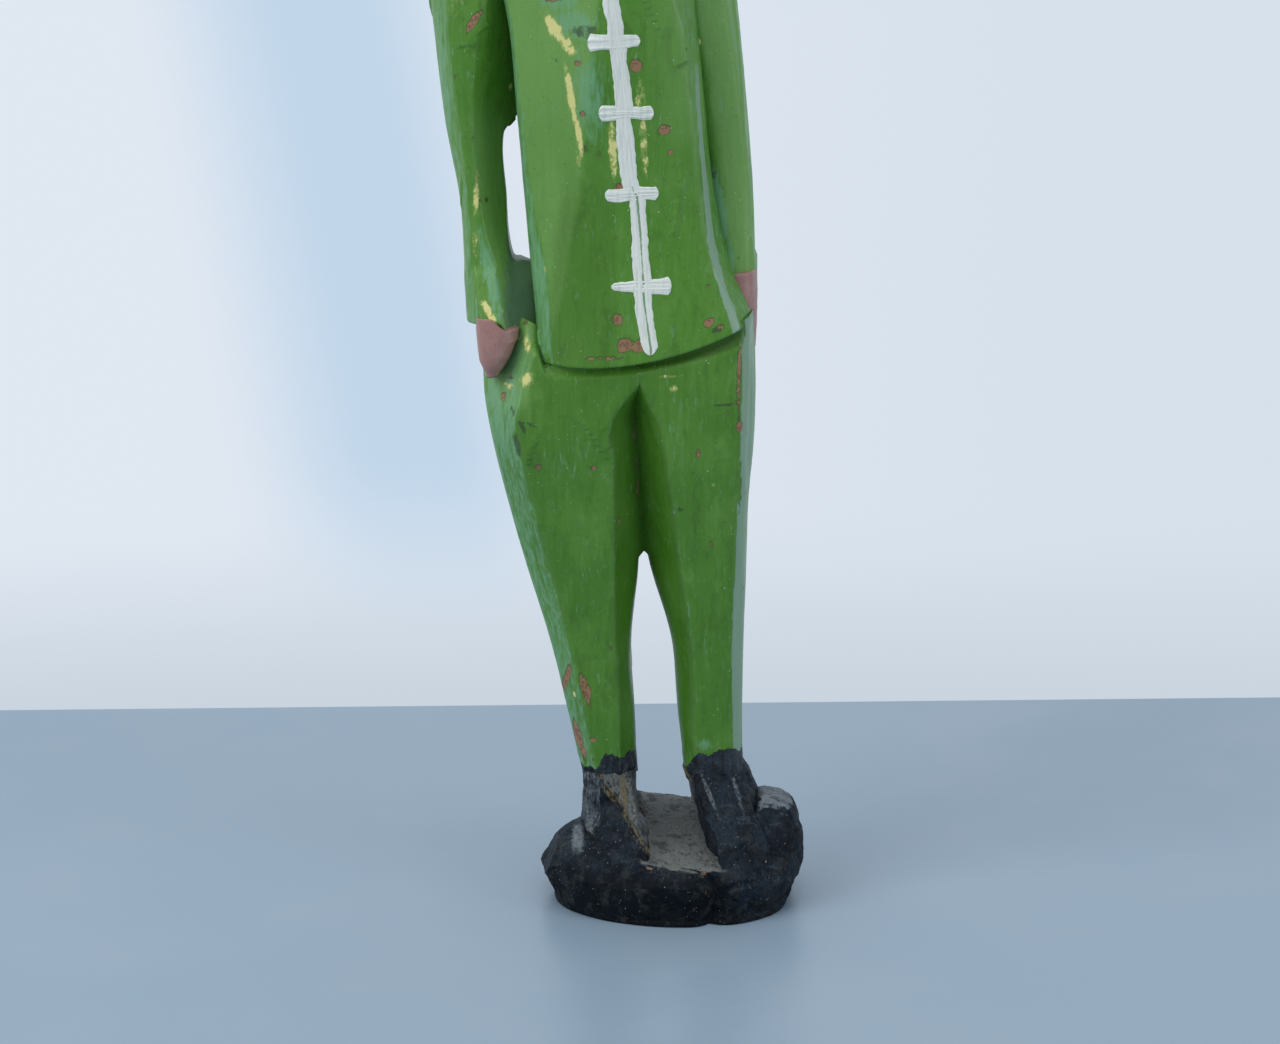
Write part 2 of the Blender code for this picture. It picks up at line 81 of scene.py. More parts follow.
# Tables: z, sideways place, depth place, reach to the right, left, front and back, and the powers of the
# right and the left half
JACKET = (
    (136, 5.2, 0, 24.6, 27.4, 20.2, 20, 4.6, 4.2),
    (150, 4.4, 0, 23.2, 25.6, 18.8, 18, 4.8, 4.4),
    (172, 4.2, 0, 22.8, 22.6, 17.4, 16.6, 4.8, 4.6),
    (195, 4.2, 0, 22.4, 22.4, 18.4, 17.6, 4.6, 4.4),
    (222, 4, 0, 22.6, 23, 19.6, 18.6, 3.6, 3.6),
    (236, 2.2, 0.5, 26.4, 26.6, 17.6, 17.2, 2.8, 2.8),
    (244, 0.6, 0.8, 25, 25, 13.4, 13.8, 2.3, 2.3),
    (250.5, 0, 1, 13, 13, 10.4, 11.2, 2, 2),
)
SLEEVE_RIGHT = (
    (146, -29.8, -1.6, 5.6, 11.8, 13.6, 8.4, 3.2, 4.2),
    (153, -29.6, -1.6, 5.5, 11.4, 12, 8.4, 3, 4.2),
    (158, -29.2, -0.8, 5.7, 11, 10.4, 8.6, 3, 4),
    (161.5, -28.9, 0.2, 5.6, 7, 9.4, 9, 3.2, 3.4),
    (176, -28.5, 1, 5.4, 6.4, 8.8, 9.6, 3.2, 3.2),
    (190, -28.6, 1.2, 6.4, 7.4, 10.2, 10.4, 3, 3.2),
    (194.5, -28.1, 1.2, 7.2, 10.8, 11, 10.8, 2.8, 3.4),
    (212, -27, 1.2, 8.6, 10.4, 12.4, 11.8, 2.6, 3),
    (230, -26.6, 1.2, 8.9, 10.6, 12.8, 12.2, 2.4, 2.3),
    (237, -25.6, 1.2, 8.8, 11, 12, 11.4, 2.2, 2.2),
    (244.5, -21.8, 1.2, 6, 8, 7, 7, 2, 2),
)
SLEEVE_LEFT = (
    (151, 30.4, 0, 7, 4.6, 8.6, 8.4, 2.6, 2.8),
    (160, 30.6, 0.8, 8.4, 5.4, 8.2, 8.8, 2.6, 2.8),
    (176, 30.4, 1.8, 9.4, 6.1, 8.2, 9.2, 2.8, 3),
    (196, 29.4, 2, 9.4, 7.1, 9.4, 10, 2.6, 2.8),
    (212, 28.2, 1.8, 9.4, 8.2, 11.4, 11.2, 2.4, 2.6),
    (230, 27.2, 1.4, 10.6, 9, 12.6, 12.2, 2.3, 2.4),
    (237, 26.2, 1.2, 11, 8.8, 12, 11.4, 2.2, 2.2),
    (244.5, 22, 1.2, 8, 6, 7, 7, 2, 2),
)
LEG_RIGHT = (
    (29.5, -12.5, 0.6, 7.3, 7.1, 8.6, 8.8, 3.2, 3),
    (46, -13, 0.4, 8.6, 8.5, 9.6, 9.4, 3.4, 3),
    (64, -13.5, 0.2, 10.2, 9.9, 11.4, 11, 3.6, 3.2),
    (84, -13.4, 0, 13.7, 13.6, 13.8, 14, 3.6, 3.6),
    (98, -14, 0, 15.4, 15.25, 16, 17.2, 3.6, 4.6),
    (113, -14.4, 0, 17.2, 16.85, 18.2, 20.2, 3.6, 7),
    (127, -14.7, 0, 18.2, 18.15, 18.6, 20.2, 3.6, 12),
    (137, -14.8, 0, 18.4, 18.25, 18.2, 19.2, 3.6, 14),
)
LEG_LEFT = (
    (29.5, 12.6, 0.6, 7.2, 7.9, 8.6, 8.8, 3, 3.2),
    (46, 13.2, 0.4, 8, 8.7, 9.6, 9.4, 3, 3.4),
    (64, 14.2, 0.2, 8.8, 9.7, 11.4, 11, 3.2, 3.6),
    (84, 14.2, 0, 12.4, 12.2, 13.8, 14, 3.6, 3.6),
    (98, 15.2, 0, 13.35, 12.9, 16, 17.2, 4.6, 3.6),
    (113, 16.8, 0, 13.75, 14, 18.2, 20.2, 7, 3.6),
    (127, 18, 0, 13.95, 14.4, 18.6, 20.2, 12, 3.6),
    (137, 18.2, 0, 14.15, 14.6, 18.2, 19.2, 14, 3.6),
)
HAND_RIGHT = (
    (135.6, -30, -9.6, 1.4, 2, 3.4, 3, 2.2, 2.2),
    (138.4, -29.2, -9, 3, 3.6, 5.6, 4.6, 2.4, 2.4),
    (142.8, -28.2, -8.2, 4.2, 4.9, 7.2, 6.2, 2.6, 2.6),
    (150, -27.4, -7.6, 4.9, 5.5, 7.6, 6.4, 2.6, 2.6),
)
HAND_LEFT = (
    (135.2, 31, -3.4, 2.4, 1.6, 3, 3, 2.2, 2.2),
    (141, 30.8, -2.6, 3.8, 2.8, 6, 6, 2.4, 2.4),
    (152, 30.4, -1, 4.8, 4, 7.8, 7, 2.4, 2.4),
)
SHOE_RIGHT = (
    (9, -12.6, -2, 8.6, 8.8, 25, 11, 3, 7),
    (16, -12.6, -1, 9, 8.8, 24.2, 11, 3, 7),
    (22, -12.6, 0, 8.8, 7.4, 18.6, 10.6, 3, 5),
    (27, -12.6, 0.4, 8, 7.2, 13.6, 9.8, 3, 4),
    (31.6, -12.5, 0.6, 7.4, 7.2, 9.2, 8.8, 3, 3),
)
SHOE_LEFT = (
    (9, 17, -2, 8, 10, 24.6, 11, 5, 4),
    (16, 16.6, -1, 8.4, 9.6, 23.6, 11, 5, 4),
    (22, 15.2, 0, 8.4, 9.6, 19, 10.6, 4, 4),
    (27, 13.8, 0.4, 7.8, 9, 13.8, 9.8, 3.4, 3.4),
    (31.6, 12.7, 0.6, 7.3, 7.5, 9.2, 8.8, 3, 3),
)
NECK = (
    (249, 0, 1.5, 11.4, 11.4, 9.4, 10.6, 2.1, 2.1),
    (256, 0, 1.6, 10.4, 10.4, 9.6, 10.4, 2.1, 2.1),
    (270, 0, 1.4, 10.2, 10.2, 10, 10.6, 2.1, 2.1),
)
COLLAR = (
    (248, 0, 1.2, 14.6, 14.6, 12.6, 13.6, 2.1, 2.1),
    (254.5, 0, 1.2, 13.4, 13.4, 12.2, 13, 2.1, 2.1),
    (257, 0, 1.2, 12.8, 12.8, 11.8, 12.6, 2.1, 2.1),
)
HEAD = (
    (257.5, 0, -9.5, 6, 6, 5.4, 6, 2.1, 2.1),
    (260.5, 0, -6.5, 10.6, 10.6, 10.6, 12, 2.1, 2.1),
    (267, 0, -3, 15.6, 15.6, 16.2, 17.4, 2.3, 2.3),
    (276, 0, -0.5, 18.2, 18.2, 19.2, 21.6, 2.4, 2.4),
    (287, 0, 0.5, 19.6, 19.6, 20, 23.6, 2.4, 2.4),
    (298, 0, 0.5, 19.6, 19.6, 19.8, 23.6, 2.3, 2.3),
    (306, 0, 0.5, 16.6, 16.6, 16.8, 20, 2.2, 2.2),
    (311.5, 0, 0.5, 11, 11, 11, 13.2, 2.1, 2.1),
    (314, 0, 0.5, 4, 4, 4, 5, 2, 2),
)
EAR = (
    (274.5, 19.2, 3, 2.6, 1.6, 2.2, 2.6, 2, 2),
    (279, 20.4, 2.6, 4, 2.2, 3.8, 4, 2, 2),
    (285, 21, 2.6, 4, 2.8, 4.6, 5, 2, 2),
    (290, 20.8, 3.2, 3, 1.8, 2.6, 3.2, 2, 2),
)
BASE_OUTLINE = (
    (-34.2, -6), (-31.2, -16), (-20, -25), (-6, -29.5), (8, -30), (20, -27), (30, -19), (33, -6),
    (31.5, 8), (26, 20), (14, 27.5), (-2, 29), (-16, 26), (-27, 17), (-33.2, 5),
)

# Knife facets: the way each faces, in degrees from +X round to +Y, how soft its edges are, and the line
# (z, x, y) along which it cuts, in the straight space
JACKET_FACETS = (
    (-140, 0.25, ((136, -18.6, -14.6), (160, -16.2, -14.4), (195, -15.6, -14.6), (225, -17, -15))),
    (-108, 0.3, (
        (136, -17, -19.9), (152, -10.7, -18.7), (180, -3.2, -17.6), (205, 1, -18.8), (225, 6, -19.6),
    )),
    (-84, 0.5, ((136, 8, -20.2), (172, 8, -17.5), (222, 8, -19.6))),
    (-22, 0.2, (
        (136, 30.2, -15), (142, 28.6, -15.3), (149, 27, -15.4), (154, 25.5, -15.7), (165, 24.2, -15.1),
        (177, 24.3, -14.2), (195, 24.5, -14.2), (212, 25.4, -12.9), (225, 26.6, -12),
    )),
    (140, 0.8, ((136, -15, 16), (180, -13, 13), (225, -15, 14))),
    (40, 0.8, ((136, 26, 16), (180, 22, 13), (225, 23, 14))),
    (100, 0.5, ((136, 2, 19.6), (180, 2, 16.2), (225, 2, 18))),
)
SLEEVE_RIGHT_FACETS = (
    (-42, 0.25, (
        (146, -24.8, -14.4), (160, -27.3, -11), (170, -28.8, -8.8), (188, -29.4, -9.2),
        (215, -24.4, -11.4),
    )),
    (-98, 0.4, (
        (146, -29, -14.6), (160, -30, -10.2), (176, -30, -7.6), (212, -29, -10.6), (236, -29, -11),
    )),
    (-150, 0.3, ((146, -34, -9.6), (176, -33, -4.6), (212, -34.4, -5), (236, -33, -5))),
    (140, 0.6, ((146, -33, 4), (176, -31.8, 6.6), (212, -32.6, 8))),
)
SLEEVE_LEFT_FACETS = (
    (-128, 0.7, ((150, 26.5, -7), (176, 25, -5.4), (212, 24, -8.6))),
    (-78, 0.5, ((150, 31, -7.8), (176, 31, -5.8), (212, 30, -8.6), (236, 29, -10.6))),
    (-26, 0.3, ((150, 34.4, -4), (176, 35.8, -2.4), (212, 35.4, -4), (236, 33.6, -5))),
    (8, 0.4, ((150, 34.6, 0), (160, 35.2, 0.5), (176, 36, 1.5), (212, 36.6, 2), (236, 36, 1))),
    (42, 0.6, ((150, 32, 5), (176, 34, 7), (212, 33, 9))),
)
LEG_RIGHT_FACETS = (
    (-142, 0.25, (
        (32, -19.2, -3), (64, -22.4, -5), (98, -27, -9), (118, -28.6, -12.4), (128, -26, -14.2),
        (133.5, -19, -18), (137.5, -19, -13),
    )),
    (-94, 0.4, ((32, -13, -7.9), (64, -14, -10.8), (98, -16, -15.3), (120, -18, -18), (138, -18, -18))),
    (-37, 0.3, (
        (36, -9, -7.9), (64, -7.4, -10.6), (78, -6.5, -12.6), (112, -3.3, -17.6), (123, -2, -18.2),
        (131, 4.8, -18.6),
    )),
    (36, 0.6, ((32, -8, 7.6), (70, -7, 10.8), (98, -3.4, 15), (120, 0, 19.6), (131, 4.6, 20))),
    (140, 0.6, ((32, -17.6, 6), (98, -25, 11), (127, -28, 13))),
)
LEG_LEFT_FACETS = (
    (-32, 0.25, (
        (32, 20.6, -3.4), (64, 23.6, -5.4), (98, 28.2, -9.4), (127, 31.6, -12), (140, 31.8, -12.4),
    )),
    (-86, 0.4, ((32, 13, -7.9), (64, 16, -10.8), (98, 18, -15.4), (120, 19, -18), (138, 19, -18))),
    (-141, 0.9, (
        (36, 7.6, -8), (64, 9.8, -10.6), (90, 9.4, -14), (112, 9, -17.6), (124, 7.4, -18.2),
        (131, 4.8, -18.6),
    )),
    (144, 0.6, ((32, 8, 7.6), (70, 9, 10.8), (98, 6.4, 15), (120, 6, 19.6), (131, 4.6, 20))),
    (40, 0.6, ((32, 17.6, 6), (98, 24, 11), (127, 28, 13))),
)
SHOE_RIGHT_FACETS = (
    (-172, 0.15, ((9, -21.2, -9), (27, -20, -6), (31, -19.4, -3))),
    (-131, 0.12, (
        (9, -3.6, -26), (16, -4.3, -24), (22, -8.2, -17.4), (27, -11.8, -12.4), (31, -14.8, -8.6),
    )),
    (-66, 0.12, (
        (9, -3.6, -27), (16, -4.3, -24.4), (22, -7.4, -17.8), (27, -9.8, -12.8), (31, -12, -8.6),
    )),
    (-18, 0.12, ((9, -3, -24), (16, -3.6, -20), (22, -5, -14), (27, -5.2, -9), (31, -5, -5))),
)
SHOE_LEFT_FACETS = (
    (-163, 0.12, ((9, 13.6, -26), (18, 12.5, -23.4), (24, 9.6, -15.4), (31, 7.2, -8.2))),
    (-94, 0.12, ((9, 15, -25.6), (18, 14, -22.8), (24, 12, -15.4), (31, 10, -8.4))),
    (-62, 0.12, ((9, 19, -24), (18, 19, -20.8), (24, 18.4, -15.2), (31, 15, -8))),
    (-18, 0.12, ((9, 26.6, -16), (18, 25.6, -14), (24, 23.8, -11), (31, 19.6, -5))),
)


# ------------------------------------------------------------------------------
# Numbers


def middle(z):
    return LEAN_START_X - LEAN * (z - ANKLE_HEIGHT)


def tilt(z):
    return LEAN * np.clip((z - ANKLE_HEIGHT) / (CROTCH_HEIGHT - ANKLE_HEIGHT), 0.0, 1.0)


def ease(value):
    """0 below 0, 1 above 1, and a smooth rise between."""
    share = np.clip(value, 0.0, 1.0)
    return share * share * (3 - 2 * share)


def bell(value, centre, width):
    return np.exp(-(((value - centre) / width) ** 2))


def curve(rows, t):
    """Values between the rows of a table whose first column rises, on a smooth curve through them."""
    rows = np.asarray(rows, float)
    t = np.asarray(t, float)
    knots = rows[:, 0]
    i = np.clip(np.searchsorted(knots, t, side="right") - 1, 0, len(rows) - 2)
    before, after = np.maximum(i - 1, 0), np.minimum(i + 2, len(rows) - 1)
    span = knots[i + 1] - knots[i]
    s = ((t - knots[i]) / span)[..., None]
    wide = span[..., None]
    reach_low = np.maximum(knots[i + 1] - knots[before], span)[..., None]
    reach_high = np.maximum(knots[after] - knots[i], span)[..., None]
    slope_low = (rows[i + 1] - rows[before]) * wide / reach_low
    slope_high = (rows[after] - rows[i]) * wide / reach_high
    value = (
        rows[i] * (1 + 2 * s) * (1 - s) ** 2
        + slope_low * s * (1 - s) ** 2
        + rows[i + 1] * s * s * (3 - 2 * s)
        + slope_high * s * s * (s - 1)
    )
    return value[..., 1:]


def lattice(x, y, z, seed):
    """A repeatable number from 0 to 1 for each whole-number place."""
    n = (x * 374761393 + y * 668265263 + z * 1440662683 + seed * 1274126177) & 0xFFFFFFFF
    n = ((n ^ (n >> 13)) * 1274126177) & 0xFFFFFFFF
    return ((n ^ (n >> 16)) & 0xFFFF) / 65535.0


def noise(points, size, seed=0):
    """Smooth noise from -1 to 1. size is the width of its lumps in mm, one number or one for each axis."""
    place = points / np.asarray(size, float)
    cell = np.floor(place).astype(np.int64)
    part = ease(place - cell)
    total = np.zeros(points.shape[:-1])
    for corner in itertools.product((0, 1), repeat=3):
        weight = np.ones(points.shape[:-1])
        for axis, on in enumerate(corner):
            weight = weight * (part[..., axis] if on else 1 - part[..., axis])
        total += weight * lattice(*(cell[..., k] + corner[k] for k in range(3)), seed)
    return 2 * total - 1


# ------------------------------------------------------------------------------
# Forms: every skin is a grid of points, rows up the piece and columns round it


def turn_angles(count):
    """Angles spaced evenly round a full turn."""
    return 2 * np.pi * (np.arange(count) + 0.5) / count


def section(sizes, angle, grow):
    """Where superellipse sections pass at each angle. sizes are a table's columns after its height."""
    place_x, place_y, right, left, front, back, power_right, power_left = np.moveaxis(sizes, -1, 0)
    c, s = np.cos(angle)[None], np.sin(angle)[None]
    power = np.where(c > 0, power_left, power_right)
    # The spacing of the points is kept even by turning the radius, not by bending the angle
    reach_x = np.where(c > 0, left, right) + grow
    reach_y = np.where(s < 0, front, back) + grow
    radius = (np.abs(c / reach_x) ** power + np.abs(s / reach_y) ** power) ** (-1 / power)
    return place_x + radius * c, place_y + radius * s


def rings(table, low, high, rows, around, grow=0.0):
    """Rings of superellipse sections, as in the CAD model, between two heights."""
    z = np.linspace(low, high, rows)
    x, y = section(curve(table, z)[:, None], turn_angles(around), grow)
    return np.stack([x, y, np.broadcast_to(z[:, None], x.shape)], -1)


def knife(points, facets):
    """Cuts flat what stands beyond each facet, a plane that runs up the piece along a line."""
    for facing, softness, line in facets:
        across, along = math.cos(math.radians(facing)), math.sin(math.radians(facing))
        through = curve(line, points[..., 2])
        over = (points[..., 0] - through[..., 0]) * across + (points[..., 1] - through[..., 1]) * along
        cut = softness * np.logaddexp(0.0, over / softness)
        points[..., 0] -= across * cut
        points[..., 1] -= along * cut
    return points


def facet_edge(z, facet):
    """Where a facet's line passes at each height, leant over with the figure."""
    heights, places, _ = np.array(facet[2]).T
    return np.interp(z, heights, middle(heights) + places)


def facing_of(points):
    """The outward direction at each point of a grid that is closed round its columns."""
    up = np.gradient(points, axis=0)
    along = np.roll(points, -1, axis=1) - np.roll(points, 1, axis=1)
    out = np.cross(along, up)
    return out / np.maximum(np.linalg.norm(out, axis=-1, keepdims=True), 1e-9)


# How far the knife's cuts waver, in degrees, and how far one reaches, in spacings
KNIFE_WAVER = 3.0
KNIFE_REACH = 2.2
# How soft the edges of chopped flats are, in mm
CHOP_EDGE = 0.06


def whittle(points, spacing, depth, seed, stretch):
    """Turns a rounded skin into shallow knife cuts: flats, taller than wide, with crisp ridges between."""
    flat = points.reshape(-1, 3)
    facing = facing_of(points).reshape(-1, 3)
    scale = np.array([1.0, 1.0, 1 / stretch])
    extent = np.ptp(flat, axis=0)
    area = extent[2] * (extent[0] + extent[1]) * 1.8
    rng = np.random.default_rng(seed)
    chosen = rng.choice(len(flat), int(area / (spacing * spacing * stretch)), replace=False)
    centre = flat[chosen] - facing[chosen] * depth * rng.uniform(0.3, 1.0, (len(chosen), 1))
    normal = facing[chosen] + np.tan(np.radians(KNIFE_WAVER)) * rng.normal(0, 1, (len(chosen), 3))
    normal /= np.linalg.norm(normal, axis=1, keepdims=True)
    reach = (KNIFE_REACH * spacing) ** 2
    height = np.zeros(len(flat))
    # The points are taken in batches, to keep the arrays small
    for start in range(0, len(flat), 8192):
        part = slice(start, start + 8192)
        gap = flat[part, None] - centre[None]
        near = ((gap * scale) ** 2).sum(-1) < reach
        facing_share = facing[part] @ normal.T
        above = -(gap * normal[None]).sum(-1) / np.maximum(facing_share, 0.5)
        above[~near | (facing_share < 0.7)] = 0.0
        height[part] = np.clip(above.min(axis=1), -1.6 * depth, 0.0)
    return (flat + facing * height[:, None]).reshape(points.shape)


def chop(points, count, depths, seed, waver, reach, steepest=1.0):
    """Chops flats into a boulder-like skin: each cuts off what stands beyond a plane sunk below one point.

    Points that face up more than steepest get no flat of their own.
    """
    rng = np.random.default_rng(seed)
    flat = points.reshape(-1, 3).copy()
    facing = facing_of(points).reshape(-1, 3)
    for index in rng.choice(np.flatnonzero(facing[:, 2] <= steepest), count, replace=False):
        normal = facing[index] + math.tan(math.radians(waver)) * rng.normal(0, 1, 3)
        normal /= np.linalg.norm(normal)
        away = flat - flat[index]
        depth = rng.uniform(*depths)
        over = away @ normal + depth
        near = 1 - ease((np.linalg.norm(away, axis=1) / reach - 1) / 0.7)
        near *= 1 - ease((over / depth - 1.5) / 3.0)
        flat -= normal * (near * CHOP_EDGE * np.logaddexp(0.0, np.minimum(over, 9.0) / CHOP_EDGE))[:, None]
    return flat.reshape(points.shape)


def roughen(points, *layers):
    """Pushes a skin in and out. A layer is (depth, size, seed)."""
    facing = facing_of(points)
    shift = sum(depth * noise(points, size, seed) for depth, size, seed in layers)
    return points + facing * shift[..., None]


def lean(points, lift=None):
    """From the straight space to where the figure stands."""
    x, y, z = points[..., 0], points[..., 1], points[..., 2]
    height = z + tilt(z) * x
    if lift:
        height = height + lift(x, y, z)
    return np.stack([middle(z) + x, y, height], -1)


def closed(points, round_low=0.6, round_high=0.6):
    """Adds rings that round the two rims over and close the ends."""

    def end(ring, inward, amount):
        hub = ring.mean(axis=0)
        out = []
        for share in (0.02, 0.3, 0.6, 0.85):
            out.append(hub + (ring - hub) * share - inward * amount)
        for turn in (0.0, 0.35, 0.7):
            edge = ring - hub
            size = np.linalg.norm(edge[:, :2], axis=1, keepdims=True)
            pull = amount * (1 - math.sin(turn * math.pi / 2)) / np.maximum(size, 1e-6)
            out.append(hub + edge * (1 - pull) - inward * amount * math.cos(turn * math.pi / 2))
        return out

    low_way = (points[1] - points[0]).mean(axis=0)
    high_way = (points[-1] - points[-2]).mean(axis=0)
    low_way /= np.linalg.norm(low_way)
    high_way /= np.linalg.norm(high_way)
    low = end(points[0], low_way, round_low)
    high = end(points[-1], -high_way, round_high)
    return np.concatenate([np.stack(low), points, np.stack(high[::-1])])


def skin(name, grid):
    """A closed mesh, in metres, from a grid whose first and last rings are small."""
    rows, around = grid.shape[:2]
    index = np.arange(rows * around).reshape(rows, around)
    nxt = np.roll(index, -1, axis=1)
    quads = np.stack([index[:-1], nxt[:-1], nxt[1:], index[1:]], -1).reshape(-1, 4).tolist()
    low, high = rows * around, rows * around + 1
    fans = [(low, b, a) for a, b in zip(index[0].tolist(), nxt[0].tolist())]
    fans += [(high, a, b) for a, b in zip(index[-1].tolist(), nxt[-1].tolist())]
    flat = np.concatenate([grid.reshape(-1, 3), grid[:1].mean(axis=1), grid[-1:].mean(axis=1)])
    mesh = bpy.data.meshes.new(name)
    mesh.from_pydata((flat * MM).tolist(), [], quads + fans)
    mesh.validate()
    made = bpy.data.objects.new(name, mesh)
    bpy.context.scene.collection.objects.link(made)
    mesh.shade_smooth()
    return made


def vectors_of(piece, name):
    """The places ("co", in metres) or the directions ("normal") of a piece's points."""
    flat = np.empty(len(piece.data.vertices) * 3)
    piece.data.vertices.foreach_get(name, flat)
    return flat.reshape(-1, 3)


def layer(piece, name, values):
    """A paint layer: how strongly it shows at each point of the piece."""
    attribute = piece.data.attributes.new(name, "FLOAT", "POINT")
    attribute.data.foreach_set("value", np.asarray(values, np.float32))


# ------------------------------------------------------------------------------
# Materials


class Nodes:
    """Makes and links the nodes of one node tree."""

    def __init__(self, tree):
        self.nodes = tree.nodes
        self.links = tree.links

    def feed(self, socket, value):
        """Sets a socket to a number or a colour, or links another node's socket to it."""
        if isinstance(value, (int, float)):
            socket.default_value = value
        elif isinstance(value, tuple):
            socket.default_value = (*value, 1.0)
        else:
            self.links.new(value, socket)

    def math(self, operation, first, second):
        node = self.nodes.new("ShaderNodeMath")
        node.operation = operation
        self.feed(node.inputs[0], first)
        self.feed(node.inputs[1], second)
        return node.outputs[0]

    def range(self, source, low, high):
        """0 where the source is at low, 1 where it is at high, and a smooth change between."""
        node = self.nodes.new("ShaderNodeMapRange")
        node.interpolation_type = "SMOOTHSTEP"
        self.feed(node.inputs["From Min"], low)
        self.feed(node.inputs["From Max"], high)
        self.feed(node.inputs["Value"], source)
        return node.outputs["Result"]

    def mix(self, factor, under, over):
        node = self.nodes.new("ShaderNodeMix")
        node.data_type = "RGBA"
        # The colour sockets of this node are its inputs 6 and 7 and its output 2
        for index, value in ((0, factor), (6, under), (7, over)):
            self.feed(node.inputs[index], value)
        return node.outputs[2]


class Paint(Nodes):
    """A material whose colour is painted coat by coat."""

    def __init__(self, name, colour, roughness, coat=0.0):
        self.material = bpy.data.materials.new(name)
        self.material.use_nodes = True
        super().__init__(self.material.node_tree)
        self.shader = self.nodes["Principled BSDF"]
        self.shader.inputs["Roughness"].default_value = roughness
        self.shader.inputs["Coat Weight"].default_value = coat
        self.shader.inputs["Coat Roughness"].default_value = 0.22
        self.place = self.nodes.new("ShaderNodeTexCoord").outputs["Object"]
        self.colour = self.plain(colour)
        self.height = None

    def plain(self, colour):
        node = self.nodes.new("ShaderNodeRGB")
        node.outputs[0].default_value = (*colour, 1.0)
        return node.outputs[0]

    def noise(self, size, detail=3.0, rough=0.55, stretch=(1.0, 1.0, 1.0), seed=0.0):
        """Noise with lumps about size mm wide, longer along an axis whose stretch is above 1."""
        mapping = self.nodes.new("ShaderNodeMapping")
        mapping.inputs["Scale"].default_value = [1 / (size * MM * s) for s in stretch]
        mapping.inputs["Location"].default_value = (seed * 3.7, seed * 1.9, seed * 2.3)
        self.links.new(self.place, mapping.inputs["Vector"])
        node = self.nodes.new("ShaderNodeTexNoise")
        node.inputs["Scale"].default_value = 1.0
        node.inputs["Detail"].default_value = detail
        node.inputs["Roughness"].default_value = rough
        self.links.new(mapping.outputs[0], node.inputs["Vector"])
        return node.outputs["Fac"]

    def swing(self, source, amount):
        """Noise made amount times as strong and centred on 0."""
        return self.math("MULTIPLY", self.math("ADD", source, -0.5), amount)

    def layer(self, name):
        node = self.nodes.new("ShaderNodeAttribute")
        node.attribute_name = name
        return node.outputs["Fac"]

    def coat(self, colour, mask, strength=1.0):
        """Paints a colour, or another socket's colour, over what is there."""
        self.colour = self.mix(self.math("MULTIPLY", mask, strength), self.colour, colour)

    def coats(self, *coats):
        """Paints coats, each (colour, source, low, high, strength): it shows where the source passes low."""
        for colour, source, low, high, strength in coats:
            self.coat(colour, self.range(source, low, high), strength)

    def rise(self, source, amount):
        """Adds to the height, in mm, that the surface's fine relief is made of."""
        added = self.math("MULTIPLY", source, amount)
        self.height = added if self.height is None else self.math("ADD", self.height, added)

    def vary_roughness(self, source, low, high):
        node = self.nodes.new("ShaderNodeMapRange")
        node.inputs["To Min"].default_value = low
        node.inputs["To Max"].default_value = high
        self.links.new(source, node.inputs["Value"])
        self.links.new(node.outputs["Result"], self.shader.inputs["Roughness"])

    def done(self):
        self.links.new(self.colour, self.shader.inputs["Base Color"])
        if self.height is not None:
            bump = self.nodes.new("ShaderNodeBump")
            bump.inputs["Distance"].default_value = MM
            bump.inputs["Strength"].default_value = 1.0
            self.links.new(self.height, bump.inputs["Height"])
            self.links.new(bump.outputs["Normal"], self.shader.inputs["Normal"])
        return self.material


BARE_WOOD = (0.29, 0.165, 0.085)
SHINE = (0.23, 0.36, 0.26)
CREAM = (0.68, 0.65, 0.25)
# Painted highlight: the pale blue-green that the lit chamfers and ridges reflect
TEAL_SHEEN = (0.15, 0.35, 0.18)
SOOT = (0.03, 0.055, 0.02)
# Painted light for facets that face the light
LIT_GREEN = (0.165, 0.34, 0.085)
# Painted shade for recesses, grooves and the line under the hem
SHADE_GREEN = (0.028, 0.10, 0.002)


def ragged_coats(paint, layers):
    """Lays the coats under the paint and the painted highlights over it: each layer is broken up by fine
    noise, so that its edge is ragged.
    """
    breakers = {
        "crumbs": paint.noise(1.1, 4.0, 0.65, seed=5.0),
        "streaks": paint.noise(0.9, 3.0, 0.6, (1.0, 1.0, 5.0), seed=8.0),
        "smears": paint.noise(1.5, 6.0, 0.75, (1.0, 1.0, 1.8), seed=7.0),
    }
    for name, colour, breaker, low, high, strength in layers:
        level = paint.math("ADD", paint.layer(name), paint.swing(breakers[breaker], 2.0))
        mask = paint.range(level, low, high)
        paint.coat(colour, mask, strength)
        if name == "bare":
            paint.rise(mask, -0.12)


